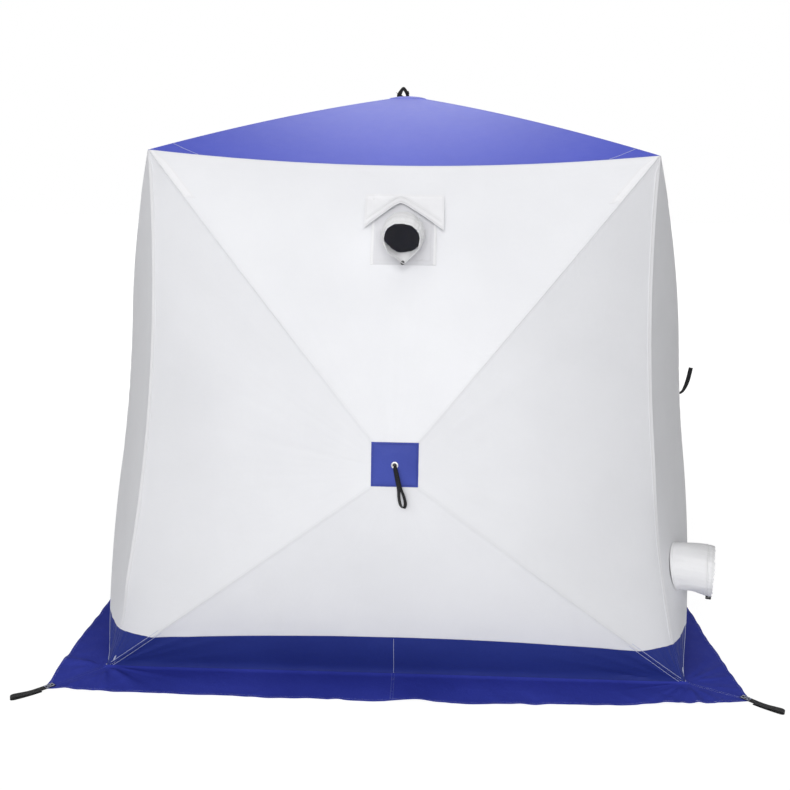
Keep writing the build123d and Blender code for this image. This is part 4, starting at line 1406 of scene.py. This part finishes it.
@dataclass
class TieLoops:
    """Webbing loops sewn flat on the skirt corners, each folded back at its free end."""

    half_width: float = 0.0125
    length: float = 0.112
    overlap: float = 0.036
    swing: float = 0.013
    thickness: float = 0.0018
    box_inset: float = 0.003
    stitch_height: float = 0.0088

    def build(self) -> None:
        """Build and dress the four loops."""
        rise = [(-self.overlap, 0.0074), (-0.012, 0.0072), (0.004, 0.0068), (0.045, 0.0068)]
        rise += [(0.08, 0.0098), (0.103, 0.0108), (self.length, 0.0066), (0.103, 0.0024)]
        rise += [(0.07, 0.0017), (0.035, 0.0013), (0.012, 0.0012)]
        line = curve_through(rise, 110)
        parts = []
        for side in Side:
            bend = -1 if side in (Side.FRONT, Side.REAR) else 1
            drift = bend * self.swing * (np.clip(line[:, 0], 0, 1) / self.length) ** 2
            path = np.stack([drift, -line[:, 0], line[:, 1]], 1)
            slant = 0.35 * bend * np.clip(line[:, 0] / self.length, 0, 1) ** 4
            wide = np.stack([np.ones(len(line)), slant, 0 * slant], 1) * self.half_width
            angle = side.value - 45
            path = self.root(side) + turn(path, angle)
            parts.append(strap(f"tie_{side.label}", path, turn(wide, angle), self.thickness))
        loops = join("tie_loop_webbing", parts)
        dress(loops, WEBBING, "webbing", "tie_down_loops")

    @staticmethod
    def root(side: Side) -> Points:
        """Skirt corner a loop is sewn to."""
        return turn(skirt_corner(side, -1)[None, :], side.value)[0]

    def sewing(self) -> list[Points]:
        """Box and cross that hold each loop to its skirt corner."""
        w, near, far = self.half_width - self.box_inset, -self.overlap + self.box_inset, -0.004
        box = [(-w, near), (w, near), (w, far), (-w, far), (-w, near), (w, far), (w, near), (-w, far)]
        rows = []
        for side in Side:
            flat = np.array([(x, -y, self.stitch_height) for x, y in box])
            rows.append(self.root(side) + turn(flat, side.value - 45))
        return rows


@dataclass
class Sleeve:
    """Cloth sleeve between its seam on the wall and a hemmed mouth."""

    name: str
    base: Points
    facing: Points
    mouth: Points
    mouth_facing: Points
    angle: float
    radii: Sequence[Pair]
    mouth_shape: Sequence[Pair]
    hem: float
    ragged: float
    seed: float
    thickness: float = 0.0014
    soft_folds: float = 0.0045
    fine_folds: float = 0.0016
    gathers: float = 0.0016
    seam_depth: float = 0.0022
    grid: Grid = (144, 52)

    def axes(self, v: Points) -> tuple[Points, Points, Points]:
        """Centre, right and up of the section at shares of the length."""
        v = v[:, None]
        bend = self.base + self.facing * 0.45 * np.linalg.norm(self.mouth - self.base)
        centre = self.base * (1 - v) ** 2 + bend * 2 * v * (1 - v) + self.mouth * v**2
        way = unit(self.facing * (1 - v) + self.mouth_facing * v)
        right = unit(np.cross(np.array([0.0, 0.0, 1.0]), way))
        return centre, right, np.cross(way, right)

    def shape(self, angle: Points) -> Points:
        """Reach of the mouth's outline in a direction."""
        outline = curve_through([*self.mouth_shape, self.mouth_shape[0]], 200)[:-1]
        around = np.arctan2(outline[:, 1], outline[:, 0])
        order = np.argsort(around)
        return np.interp(angle, around[order], np.hypot(*outline.T)[order], period=2 * math.pi)

    def point(self, u: Points, v: Points) -> Points:
        """Points of the sleeve's outer face."""
        turn_angle = 2 * math.pi * u
        centre, right, up = self.axes(v)
        runs, reaches = zip(*self.radii)
        round_reach = np.interp(v, np.linspace(0, 1, 60), curve_values(runs, reaches))
        blend = ease(v, 0.30, 0.97)
        reach = round_reach * (1 - blend) + self.shape(turn_angle) * round_reach / reaches[-1] * blend
        x, y = np.cos(turn_angle), np.sin(turn_angle)
        soft = ripple(x * 1.6 + v * 0.7, y * 1.6 - v, self.seed) * self.soft_folds
        fine = ripple(x * 7 + v, y * 7, self.seed + 4) * self.fine_folds
        gather = ripple(x * 17, y * 17 + v * 0.6, self.seed + 8) * self.gathers
        near_hem = ease(v, 1 - self.hem * 2.6, 1 - self.hem)
        calm = ease(v, 0.0, 0.15)
        reach = reach + (soft + fine) * calm + gather * (0.25 + 0.75 * near_hem) * calm
        seam = np.exp(-(((v - (1 - self.hem)) / 0.016) ** 2))
        reach = reach - self.seam_depth * seam
        ragged = ripple(x * 11, y * 11, self.seed + 12) * self.ragged * ease(v, 1 - self.hem, 1)
        way = np.cross(right, up)
        return centre + right * (x * reach)[:, None] + up * (y * reach)[:, None] + way * ragged[:, None]

    def build(self, node: str, flat: Pair) -> None:
        """Build and dress the sleeve."""
        width, length = flat

        def marks(u: Points, v: Points) -> Maps:
            """Distances on the flat sleeve."""
            x, y = u * width, v * length
            far = np.full(len(x), 0.5)
            hem = np.abs(y - (1 - self.hem) * length)
            return {
                "cloth": np.stack([x, y], 1),
                "seams": np.stack([far, np.minimum(y, hem + 0.004)], 1),
                "edge": np.stack([length - y, x], 1),
            }

        piece = lay_panel(self.name, *self.grid, lambda u, v: turn(self.point(u, v), self.angle), marks)
        make_sheet(piece, self.thickness, 40, welded=True)
        dress(piece, SLEEVE, "sleeve_cloth", node)


def curve_values(runs: Sequence[float], values: Sequence[float]) -> Points:
    """Sixty values of a smooth curve through the given ones, evenly spread from 0 to 1."""
    line = curve_through(list(zip(runs, values)), 400)
    return np.interp(np.linspace(0, 1, 60), line[:, 0], line[:, 1])


def face_out(piece: Piece) -> None:
    """Turn a sheet's faces away from the middle of the shelter."""
    shape = bmesh.new()
    shape.from_mesh(piece.data)
    total = 0.0
    for face in shape.faces:
        middle = face.calc_center_median()
        total += face.normal.dot(middle - Vector((0, 0, 0.9))) * face.calc_area()
    if total < 0:
        bmesh.ops.reverse_faces(shape, faces=shape.faces)
    shape.to_mesh(piece.data)
    shape.free()


@dataclass
class FrontVent:
    """High vent of the front wall: patch, side bindings, rain flap and sleeve."""

    patch_width: float = 0.216
    patch_height: float = 0.246
    bore: float = 0.068
    flap_half: float = 0.135
    ridge: float = -0.012
    peak: float = 0.1115
    slopes: Pair = (0.86, 0.75)
    top: float = 0.152
    hem_width: float = 0.024
    drop: float = 0.013
    binding_width: float = 0.010
    binding_gap: float = 0.003
    patch_cloth: float = 0.0012
    binding_cloth: float = 0.0014
    flap_cloth: float = 0.0013
    patch_grid: Grid = (128, 26)
    binding_grid: Grid = (6, 60)
    flap_grid: Grid = (120, 70)
    spot: Points = field(default_factory=lambda: np.array([0.012, -0.9620, 1.57826]))
    facing: Points = field(default_factory=lambda: np.array([0.0, -0.882, 0.4712]))

    def cut(self, part: Piece) -> None:
        """Cut the hole through its gore."""
        drill(part, self.spot, self.facing, self.bore)

    def on_wall(self, a: Points, b: Points, lift: Points | float) -> Points:
        """Points over the wall, a to the right of the hole's middle and b up the gore."""
        gore = wall_gores(0.0)["top"]
        rise = unit(np.array([0.0, self.facing[2], -self.facing[1]]))
        t, s = gore.locate(self.spot[0] + a, self.spot[2] + b * rise[2])
        return gore.point(t, s) + self.facing * np.broadcast_to(lift, a.shape)[:, None]

    def patch(self) -> None:
        """The patch round the hole, with its bound sides."""
        width, height = self.patch_width, self.patch_height

        def lay(u: Points, v: Points) -> Points:
            """Points of the patch."""
            a, b = holed(u, v, width, height, self.bore)
            b = b + self.drop * v
            wave = 0.0012 * ripple(a * 22, b * 22, 8.0) * ease(v, 0.05, 0.3) * ease(1 - v, 0, 0.3)
            return self.on_wall(a, b, 0.0013 + wave)

        marks = patch_marks(width, height, self.bore)
        sheet = lay_panel("front_patch", *self.patch_grid, lay, marks)
        make_sheet(sheet, self.patch_cloth, 30, welded=True)
        # The patch's grey is partly painted shade of the flap.
        dress(sheet, PATCH, "wall_cloth", "front_vent_patch")
        for name, side in (("left", -1), ("right", 1)):

            def band(u: Points, v: Points, side: int = side) -> Points:
                """Points of one binding."""
                a = side * (width / 2 + self.binding_gap) + (u - 0.5 - side * 0.5) * self.binding_width
                b = (v - 0.5) * height + self.drop
                wave = 0.0008 * ripple(b * 60, a * 5, 3.0)
                return self.on_wall(a, b, 0.0030 + 0.0010 * np.sin(np.pi * u) + wave)

            marks = plain_marks(self.binding_width, height)
            strip = lay_panel(f"front_patch_binding_{name}", *self.binding_grid, band, marks)
            make_sheet(strip, self.binding_cloth, 40)
            dress(strip, SLEEVE, "wall_cloth")

    def flap_place(self, u: Points, v: Points) -> tuple[Points, Points, Points]:
        """Places on the flap and their distance from the hem."""
        a = (2 * u - 1) * self.flap_half
        slope = self.slope(a)
        low = self.peak - (np.sqrt((a - self.ridge) ** 2 + 0.012**2) - 0.012) * slope
        b = low + (self.top - low) * v
        return a, b, (b - low) * np.cos(np.arctan(slope))

    def slope(self, a: Points) -> Points:
        """Slope of the hem on each side of its peak."""
        return np.where(a < self.ridge, *self.slopes)

    def flap_lift(self, a: Points, b: Points, away: Points) -> Points:
        """How far the flap stands off the wall."""
        side = np.abs(a) / self.flap_half
        free = (1 - ease((b + 0.05) / (self.top + 0.05), 0.45, 1.0)) * (0.008 + 0.004 * side)
        free += (1 - ease(away, 0.0, 0.05)) * 0.006 * (1 - side**2)
        band = 1 - ease(away, self.hem_width - 0.002, self.hem_width + 0.0015)
        curl = 0.004 * (1 - ease(away, 0.0, 0.014))
        wave = 0.0030 * ripple(a * 15, b * 11, 21.0) + 0.0012 * ripple(a * 42, b * 36, 25.0)
        sewn = ease(self.top - b, 0.0, 0.03)
        return 0.0042 + (free + curl + wave) * sewn + 0.0013 * band

    def flap(self) -> None:
        """The rain flap, its hem an inverted V over the sleeve."""

        def lay(u: Points, v: Points) -> Points:
            """Points of the flap."""
            a, b, away = self.flap_place(u, v)
            return self.on_wall(a, b, self.flap_lift(a, b, away))

        def marks(u: Points, v: Points) -> Maps:
            """Distances on the flap."""
            a, b, away = self.flap_place(u, v)
            return {
                "cloth": np.stack([a, b], 1),
                "seams": np.stack([self.flap_half - np.abs(a), np.abs(away - self.hem_width)], 1),
                "edge": np.stack([np.minimum(away, self.top - b), a + b], 1),
            }

        piece = lay_panel("front_flap_cloth", *self.flap_grid, lay, marks)
        make_sheet(piece, self.flap_cloth, 40)
        dress(piece, STRIP, "wall_cloth", "front_vent_flap")

    def build(self) -> None:
        """Build the vent."""
        self.patch()
        self.flap()
        mouth = self.spot + self.facing * 0.0056 + np.array([-0.003, -0.1219, -0.0225])
        shape = [(0.006, 0.064), (0.034, 0.056), (0.052, 0.036), (0.058, 0.010), (0.055, -0.016)]
        shape += [(0.044, -0.034), (0.026, -0.051), (0.007, -0.0665), (-0.014, -0.053)]
        shape += [(-0.040, -0.037), (-0.053, -0.020), (-0.059, 0.005), (-0.052, 0.036), (-0.028, 0.058)]
        radii = [(0, 0.0715), (0.12, 0.0715), (0.4, 0.0708), (0.72, 0.0700), (0.86, 0.0680), (1, 0.0590)]
        sleeve = Sleeve(
            name="front_sleeve_cloth",
            base=self.spot + self.facing * 0.0040,
            facing=self.facing,
            mouth=mouth,
            mouth_facing=np.array([0.0, -1.0, 0.0]),
            angle=0.0,
            radii=radii,
            mouth_shape=shape,
            hem=0.15,
            ragged=0.0012,
            seed=31.0,
        )
        sleeve.build("front_vent_sleeve", (0.462, 0.128))

    def sewing(self) -> list[Points]:
        """Rows of stitches on the patch and the flap."""
        across, up = sewn_frame(self.patch_width, self.patch_height, 0.016)
        rows = [self.on_wall(across, up + self.drop, 0.0032)]
        u = np.linspace(0.02, 0.98, 160)
        for away in (0.004, self.hem_width - 0.002):
            _, low, _ = self.flap_place(u, np.zeros(160))
            slope = self.slope((2 * u - 1) * self.flap_half)
            share = away / np.cos(np.arctan(slope)) / (self.top - low)
            a, b, off = self.flap_place(u, share)
            rows.append(self.on_wall(a, b, self.flap_lift(a, b, off) + 0.0004))
        return rows


@dataclass
class SideVent:
    """Low vent of the right wall, near its front corner."""

    along: float = -0.85
    height: float = 0.366
    bore: float = 0.0825
    length: float = 0.130
    sag: float = 0.003
    mouth_turn: float = 0.2793

    def base(self) -> tuple[Points, Points]:
        """Middle of the hole on the outer face and its outward direction, before it is turned."""
        gore = WallSide(Side.RIGHT).gores["left"]
        x = self.along + self.bore * np.array([0, -1, 1, 0, 0])
        z = self.height + self.bore * np.array([0, 0, 0, -1, 1])
        middle, near, far, below, above = gore.point(*gore.locate(x, z))
        return middle, unit(np.cross(far - near, above - below))

    def cut(self, part: Piece) -> None:
        """Cut the hole through its gore."""
        middle, facing = self.base()
        angle = Side.RIGHT.value
        drill(part, turn(middle, angle), turn(facing, angle), self.bore)

    def build(self) -> None:
        """Build the sleeve."""
        middle, facing = self.base()
        way = np.array([-math.sin(self.mouth_turn), -math.cos(self.mouth_turn), 0.0])
        start = middle + facing * 0.0014
        mouth = start + way * self.length - np.array([0, 0, self.sag])
        shape = [(0.0905 * math.cos(a), 0.0905 * math.sin(a)) for a in np.arange(0, 6.2, 0.52)]
        shape[9] = (0.001, -0.0945)
        radii = [(0, 0.0915), (0.05, 0.0868), (0.3, 0.0885), (0.7, 0.0905), (0.86, 0.0915), (1, 0.0895)]
        sleeve = Sleeve(
            name="side_sleeve_cloth",
            base=start,
            facing=facing,
            mouth=mouth,
            mouth_facing=way,
            angle=Side.RIGHT.value,
            radii=radii,
            mouth_shape=shape,
            hem=0.13,
            ragged=0.0050,
            seed=57.0,
        )
        sleeve.build("side_vent_sleeve", (0.56, 0.132))


@dataclass
class RearDoor:
    """Zipped door of the rear wall: panel, zip tape round its arc and the teeth."""

    centre: Pair = (-0.9349, 0.930)
    reach: float = 0.5749
    hinge: float = -0.860
    hinge_foot: float = 0.360
    hinge_length: float = 1.140
    gap: float = 0.0003
    tape: float = 0.012
    tape_length: float = 1.66
    tape_lift: float = 0.0019
    tape_cloth: float = 0.0014
    tape_grid: Grid = (8, 260)
    hinge_grid: Grid = (4, 150)
    teeth: int = 620
    tooth_radius: float = 0.0009
    tooth_reach: float = 0.0026
    tooth_swing: float = 0.0006
    tooth_lift: float = 0.0031

    def cutter(self, gap: float) -> Piece:
        """Solid of the door's outline, larger by the gap."""
        laid_down = Euler((math.pi / 2, 0, 0)).to_matrix().to_4x4()
        place = Matrix.Translation((self.centre[0], -1.0, self.centre[1])) @ laid_down
        solid = cylinder(160, self.reach + gap, 0.8, place)
        bpy.ops.object.mode_set(mode="EDIT")
        bpy.ops.mesh.select_all(action="SELECT")
        bpy.ops.mesh.bisect(
            plane_co=(self.hinge - gap, 0, 0), plane_no=(1, 0, 0), use_fill=True, clear_inner=True
        )
        bpy.ops.mesh.select_all(action="SELECT")
        bpy.ops.mesh.normals_make_consistent(inside=False)
        bpy.ops.object.mode_set(mode="OBJECT")
        solid.data.transform(Matrix.Rotation(math.pi, 4, "Z"))
        return solid

    def cut(self, part: Piece) -> None:
        """Cut the door's outline from its gore."""
        carve(part, self.cutter(self.gap), "DIFFERENCE")

    def arc(self, shift: Points, v: Points) -> tuple[Points, Points]:
        """Places beside the zip, shifted outward from its line."""
        stop = math.acos((self.hinge - self.centre[0]) / self.reach)
        turn_angle = stop * (2 * v - 1)
        radius = self.reach + shift
        return self.centre[0] + radius * np.cos(turn_angle), self.centre[1] + radius * np.sin(turn_angle)

    def build(self, wall_side: WallSide) -> None:
        """Build the door's panel, tape and teeth on the rear wall."""
        panel = wall_side.panel("left", SHAPE.hub_share, 1.0)
        thicken(panel, SHAPE.cloth)
        carve(panel, self.cutter(-self.gap), "INTERSECT")
        panel.name = panel.data.name = "door_panel_cloth"
        smooth(panel, 13)
        dress(panel, WHITE, "wall_cloth", "rear_door_panel")
        tape = lay_panel(
            "door_zip_arc",
            *self.tape_grid,
            lambda u, v: wall_side.over("left", *self.arc((2 * u - 1) * self.tape, v), self.tape_lift),
            plain_marks(2 * self.tape, self.tape_length),
        )
        hinge = lay_panel(
            "door_hinge",
            *self.hinge_grid,
            lambda u, v: wall_side.over(
                "left", self.hinge + self.tape * u, self.hinge_foot + self.hinge_length * v, self.tape_lift
            ),
            plain_marks(self.tape, self.hinge_length),
        )
        for strip in (tape, hinge):
            face_out(strip)
            thicken(strip, self.tape_cloth)
        zip_tape = join("door_zip_tape", [tape, hinge])
        smooth(zip_tape, 40)
        dress(zip_tape, TAPE, "zip", "rear_door_zip")
        self.build_teeth(wall_side)

    def build_teeth(self, wall_side: WallSide) -> None:
        """Build and dress the zip's teeth, set a little in and out by turns."""
        share = np.linspace(0.003, 0.997, self.teeth)
        swing = self.tooth_swing * (-1.0) ** np.arange(self.teeth)
        ends = []
        for shift in (-self.tooth_reach, self.tooth_reach):
            ends.append(wall_side.over("left", *self.arc(shift + swing, share), self.tooth_lift))
        way = ends[1] - ends[0]
        side = unit(np.cross(way, ASKEW))
        frames = np.stack([side, np.cross(unit(way), side), way], 1)
        teeth = copy_rod("door_zip_teeth", small_rod(6, self.tooth_radius, 1.0), ends[0] + way / 2, frames)
        dress(teeth, DARK_STEEL, "slider")


def carve(piece: Piece, tool: Piece, operation: str) -> None:
    """Cut a piece with a tool solid, which is then removed."""
    apply_modifier(piece, "BOOLEAN", object=tool, operation=operation, solver="EXACT")
    bpy.data.objects.remove(tool)


def drill(piece: Piece, spot: Points, facing: Points, radius: float) -> None:
    """Cut a round hole through a wall."""
    turned_to = Vector(facing).to_track_quat("Z", "Y").to_matrix().to_4x4()
    carve(piece, cylinder(96, radius, 0.12, Matrix.Translation(Vector(spot)) @ turned_to), "DIFFERENCE")


@dataclass
class RodPockets:
    """Cloth pockets that hold the rod ends in the corners."""

    radius: float = 0.0074
    girth: float = 0.0465
    inset: float = 0.0111
    setback: float = 0.0327
    upper_length: float = 0.110
    lower_length: float = 0.070
    closed_from: float = 0.94
    weld: float = 0.0002
    cloth: float = 0.0008
    grid: Grid = (20, 26)

    def tube(self, name: str, gore: Gore, corner: Points, length: float, turn_by: float) -> Piece:
        """One pocket, closed at its end."""
        chord = corner - gore.peak
        size = float(np.linalg.norm(chord))
        way = unit(chord)
        lift = unit(gore.outward - way * gore.outward.dot(way))
        side = np.cross(way, lift)

        def lay(u: Points, v: Points) -> Points:
            """Points of the pocket."""
            t = 1 - (self.setback + length * (1 - v)) / size
            end = np.clip(v - self.closed_from, 0, 1) / (1 - self.closed_from)
            closing = np.sqrt(np.clip(1 - end**2, 0.0004, 1))
            reach = self.radius * closing * (1 + 0.05 * ripple(u * 3, v * 7, size))
            round_u = 2 * math.pi * u
            centre = gore.seam(corner, t) - lift * self.inset
            ring = lift * np.cos(round_u)[:, None] + side * np.sin(round_u)[:, None]
            return turn(centre + ring * reach[:, None], turn_by)

        return lay_panel(name, *self.grid, lay, plain_marks(0.046, length))

    def build(self) -> None:
        """Build and dress the pockets."""
        upper, lower = [], []
        wall, roof = wall_gores()["top"], roof_gore()
        high, low = self.upper_length, self.lower_length
        for side in Side:
            for end in (-1, 1):
                label = f"{side.label}_{end}"
                upper.append(self.tube(f"up_{label}", wall, SHAPE.upper(end), high, side.value))
                lower.append(self.tube(f"low_{label}", wall, SHAPE.lower(end), low, side.value))
            upper.append(self.tube(f"hip_{side.label}", roof, SHAPE.upper(1), high, side.value))
        for name, tubes, length in (("upper", upper, high), ("lower", lower, low)):
            pockets = join(f"{name}_pocket_cloth", tubes, self.weld)
            thicken(pockets, self.cloth, 1.0)
            smooth(pockets, 40)
            dress(pockets, POCKET, "pocket_cloth", f"{name}_rod_pockets")


@dataclass
class Trimmings:
    """Felled strips down the corners and over the pockets, and the rows of stitches and bar-tacks on the
    seams near the ground.
    """

    sides: dict[Side, WallSide]
    strip_width: float = 0.0175
    strip_length: float = 1.85
    near_end: float = 0.848
    far_end: float = 0.992
    lift: float = 0.0009
    puff: float = 0.0010
    cloth: float = 0.0012
    stitch_lift: float = 0.0004
    seam_gap: float = 0.0065
    tacks: int = 19
    strip_grid: Grid = (5, 220)

    def corner_strip(self, side: Side, gore_name: str) -> Piece:
        """Felled strip beside a corner seam."""
        wall = self.sides[side]
        gore = wall.gores[gore_name]
        way = -1 if gore_name == "left" else 1

        def lay(u: Points, v: Points) -> Points:
            """Points of the strip."""
            s = way * (self.near_end - (self.near_end + self.far_end) * v)
            t = 1.0006 - self.strip_width * u / gore.length() * ease((1 - np.abs(s)) / 0.05)
            puff = self.puff * ripple(v * 30, u, side.value + 2.0) * (1 - u) * u
            return wall.on(gore_name, t, s, self.lift + puff)

        marks = plain_marks(self.strip_width, self.strip_length)
        return lay_panel(f"{side.label}_{gore_name}_strip", *self.strip_grid, lay, marks)

    def felled(self, name: str, strips: Sequence[Piece]) -> Piece:
        """Join strips into one piece, their thickness half on each side."""
        for strip in strips:
            face_out(strip)
            thicken(strip, self.cloth, 0.0)
        piece = join(name, strips)
        smooth(piece, 40)
        return piece

    def build(self) -> None:
        """Build and dress the strips."""
        places = [(side, name) for side in (Side.FRONT, Side.REAR) for name in ("left", "right")]
        felled = self.felled("corner_strips", [self.corner_strip(*place) for place in places])
        dress(felled, STRIP, "wall_cloth")
        covers = []
        for side in Side:
            top = self.sides[side].gores["top"]
            for end, on_second in (("left", False), ("right", True)):
                covers.append(SeamStrip(top, on_second, side.value).build(f"{side.label}_cover_{end}"))
        pockets = self.felled("top_pocket_covers", covers)
        dress(pockets, STRIP, "wall_cloth")

    def seam_rows(self) -> list[Points]:
        """Rows along the lower ends of the diagonal seams and the middle seams of the ground bands."""
        rows = []
        for wall in self.sides.values():
            top = float(wall.band_share(np.zeros(1))[0])
            t = np.linspace(top + 0.008, 0.992, 30)
            rows.append(wall.on("bottom", t, np.full(len(t), -0.001), self.stitch_lift))
            for gore_name, low in (("bottom", -1), ("bottom", 1), ("left", -1), ("right", 1)):
                gore = wall.gores[gore_name]
                t = np.linspace(0.80, 0.992, 60)
                lean = math.cos(math.atan2(gore.half_width(), gore.length()))
                s = low * (1 - self.seam_gap / (gore.half_width() * t * lean))
                rows.append(wall.on(gore_name, t, s, self.stitch_lift))
        return rows

    def bar_tacks(self) -> list[Points]:
        """Zigzag bar-tacks where the seams meet at the ground."""
        rows = []
        for wall in self.sides.values():
            t = 0.982 - 0.006 * (np.arange(self.tacks) % 2)
            s = np.linspace(-0.990, -0.974, self.tacks)
            rows.append(wall.on("left", t, s, self.lift))
        return rows


def dress_hardware() -> None:
    """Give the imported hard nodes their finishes."""
    finishes = {"hub": HUB, "rods": ROD}
    for side in ("front", "right", "rear", "left", "roof"):
        for part, finish in finishes.items():
            repaint(f"{side}_{part}", finish)
    repaint("hub_grommets", STEEL)
    repaint("vent_cord_locks", LOCK)
    repaint("rear_door_slider", DARK_STEEL)


def repaint(node: str, finish: HardFinish) -> None:
    """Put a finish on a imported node."""
    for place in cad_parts[node].material_slots:
        place.material = finish.material()


def camera_axes(yaw: float, pitch: float, roll: float) -> tuple[Vector, Vector, Vector]:
    """Right, up and back directions of a camera that looks along +Y before it is turned."""
    forward = Vector((math.sin(yaw) * math.cos(pitch), math.cos(yaw) * math.cos(pitch), -math.sin(pitch)))
    right = Vector((math.cos(yaw), -math.sin(yaw), 0))
    up = right.cross(forward)
    tilted_right = right * math.cos(roll) + up * math.sin(roll)
    tilted_up = up * math.cos(roll) - right * math.sin(roll)
    return tilted_right, tilted_up, -forward


@dataclass
class Studio:
    """Pale floor, soft lamps and the camera."""

    eye: tuple[float, float, float] = (0.083, -4.056, 1.6915)
    yaw: float = -0.0302
    pitch: float = 0.2122
    roll: float = 0.0137
    lens: float = 41.03
    aim: float = 1.0
    floor_size: float = 160.0
    floor_gap: float = 0.0005
    floor_white: float = 1.12
    floor_fade: tuple[tuple[float, float], ...] = ((1.7, 0.84), (6.0, 1.0))

    def build(self) -> None:
        """Set up the view."""
        self.camera()
        self.floor()
        self.world(0.10)
        self.lamp("key", (0.0, -8.5, 3.5), 5.0, 440)
        self.lamp("side", (-5.2, -7.0, 5.2), 5.0, 115)
        self.lamp("overhead", (0.3, -1.2, 6.2), 6.0, 75)
        self.lamp("back", (0.5, 8.5, 3.5), 5.0, 250)
        bpy.context.scene.view_settings.view_transform = "Standard"

    def camera(self) -> None:
        """Place the camera."""
        data = bpy.data.cameras.new("camera")
        data.lens, data.sensor_width = self.lens, 36
        data.clip_start, data.clip_end = 0.05, 200
        camera = bpy.data.objects.new("camera", data)
        bpy.context.collection.objects.link(camera)
        axes = camera_axes(self.yaw, self.pitch, self.roll)
        camera.matrix_world = Matrix.Translation(self.eye) @ Matrix(axes).transposed().to_4x4()
        bpy.context.scene.camera = camera

    def lamp(self, name: str, spot: tuple[float, float, float], size: float, power: float) -> None:
        """A soft square lamp aimed at the middle of the shelter."""
        data = bpy.data.lights.new(name, "AREA")
        data.size, data.energy = size, power
        lamp = bpy.data.objects.new(name, data)
        bpy.context.collection.objects.link(lamp)
        lamp.location = spot
        way = Vector((0, 0, self.aim)) - Vector(spot)
        lamp.rotation_mode = "QUATERNION"
        lamp.rotation_quaternion = way.to_track_quat("-Z", "Y")

    @staticmethod
    def world(strength: float) -> None:
        """Even light from all round, and white where it is seen."""
        bpy.context.scene.world = bpy.data.worlds.new("studio")
        g = Graph(bpy.context.scene.world, empty=True)
        lit = g.node("ShaderNodeBackground", {0: (0.98, 0.985, 1.0, 1), 1: strength})
        seen = g.node("ShaderNodeBackground", {0: (1, 1, 1, 1)})
        g.finish("ShaderNodeOutputWorld", g.seen_directly(), lit, seen)

    def floor(self) -> None:
        """A wide pale floor that keeps a light shadow near the shelter and is white further off."""
        deselect()
        bpy.ops.mesh.primitive_plane_add(size=self.floor_size, location=(0, 0, -self.floor_gap))
        floor = bpy.context.active_object
        floor.name = "floor"
        material = bpy.data.materials.new("floor")
        g = Graph(material, empty=True)
        matt = g.node("ShaderNodeBsdfDiffuse", {0: (0.82, 0.82, 0.83, 1)})
        white = g.node("ShaderNodeEmission", {0: (1, 1, 1, 1), 1: self.floor_white})
        reach = g.node("ShaderNodeVectorMath", {0: g.place()}, operation="LENGTH").outputs["Value"]
        (near, near_share), (far, far_share) = self.floor_fade
        fade = g.node("ShaderNodeMapRange", {0: reach, 1: near, 2: far, 3: near_share, 4: far_share})
        share = g.math("MULTIPLY", g.seen_directly(), fade.outputs[0])
        g.finish("ShaderNodeOutputMaterial", share, matt, white)
        floor.data.materials.append(material)


def main() -> None:
    """Build the shelter round its frame."""
    logging.basicConfig(level=logging.INFO, format="%(message)s")
    Studio().build()
    dress_hardware()
    sides = {side: WallSide(side) for side in Side}
    front_vent, side_vent, door = FrontVent(), SideVent(), RearDoor()
    sides[Side.FRONT].build({"top": front_vent.cut}, 3.25)
    sides[Side.RIGHT].build({"left": side_vent.cut}, 3.25)
    sides[Side.REAR].build({"left": door.cut}, 2.80)
    sides[Side.LEFT].build({}, 3.27)
    door.build(sides[Side.REAR])
    skirts = [SnowSkirt(side) for side in Side]
    for skirt in skirts:
        skirt.build()
    roof = Roof()
    roof.build()
    patches = [HubPatch(side.label, side) for side in Side] + [HubPatch("roof", Side.FRONT, True)]
    for patch in patches:
        patch.build()
    PullLoops().build()
    ties = TieLoops()
    ties.build()
    front_vent.build()
    side_vent.build()
    RodPockets().build()
    trimmings = Trimmings(sides)
    trimmings.build()
    lines = [line for skirt in skirts for line in skirt.stitch_lines()]
    lines += trimmings.seam_rows() + trimmings.bar_tacks() + roof.corner_rows()
    borders = [patch.sewing() for patch in patches]
    dress(Thread(0.0009).sew("blue_cloth_stitching", lines), PALE_THREAD, "blue_cloth")
    dress(Thread(0.0008).sew("tie_loop_stitching", ties.sewing()), PALE_THREAD, "webbing")
    dress(Thread().sew("patch_stitching", borders), BLUE_THREAD, "blue_cloth")
    dress(Thread().sew("vent_stitching", front_vent.sewing()), WHITE_THREAD, "wall_cloth")


if __name__ == "__main__":
    main()
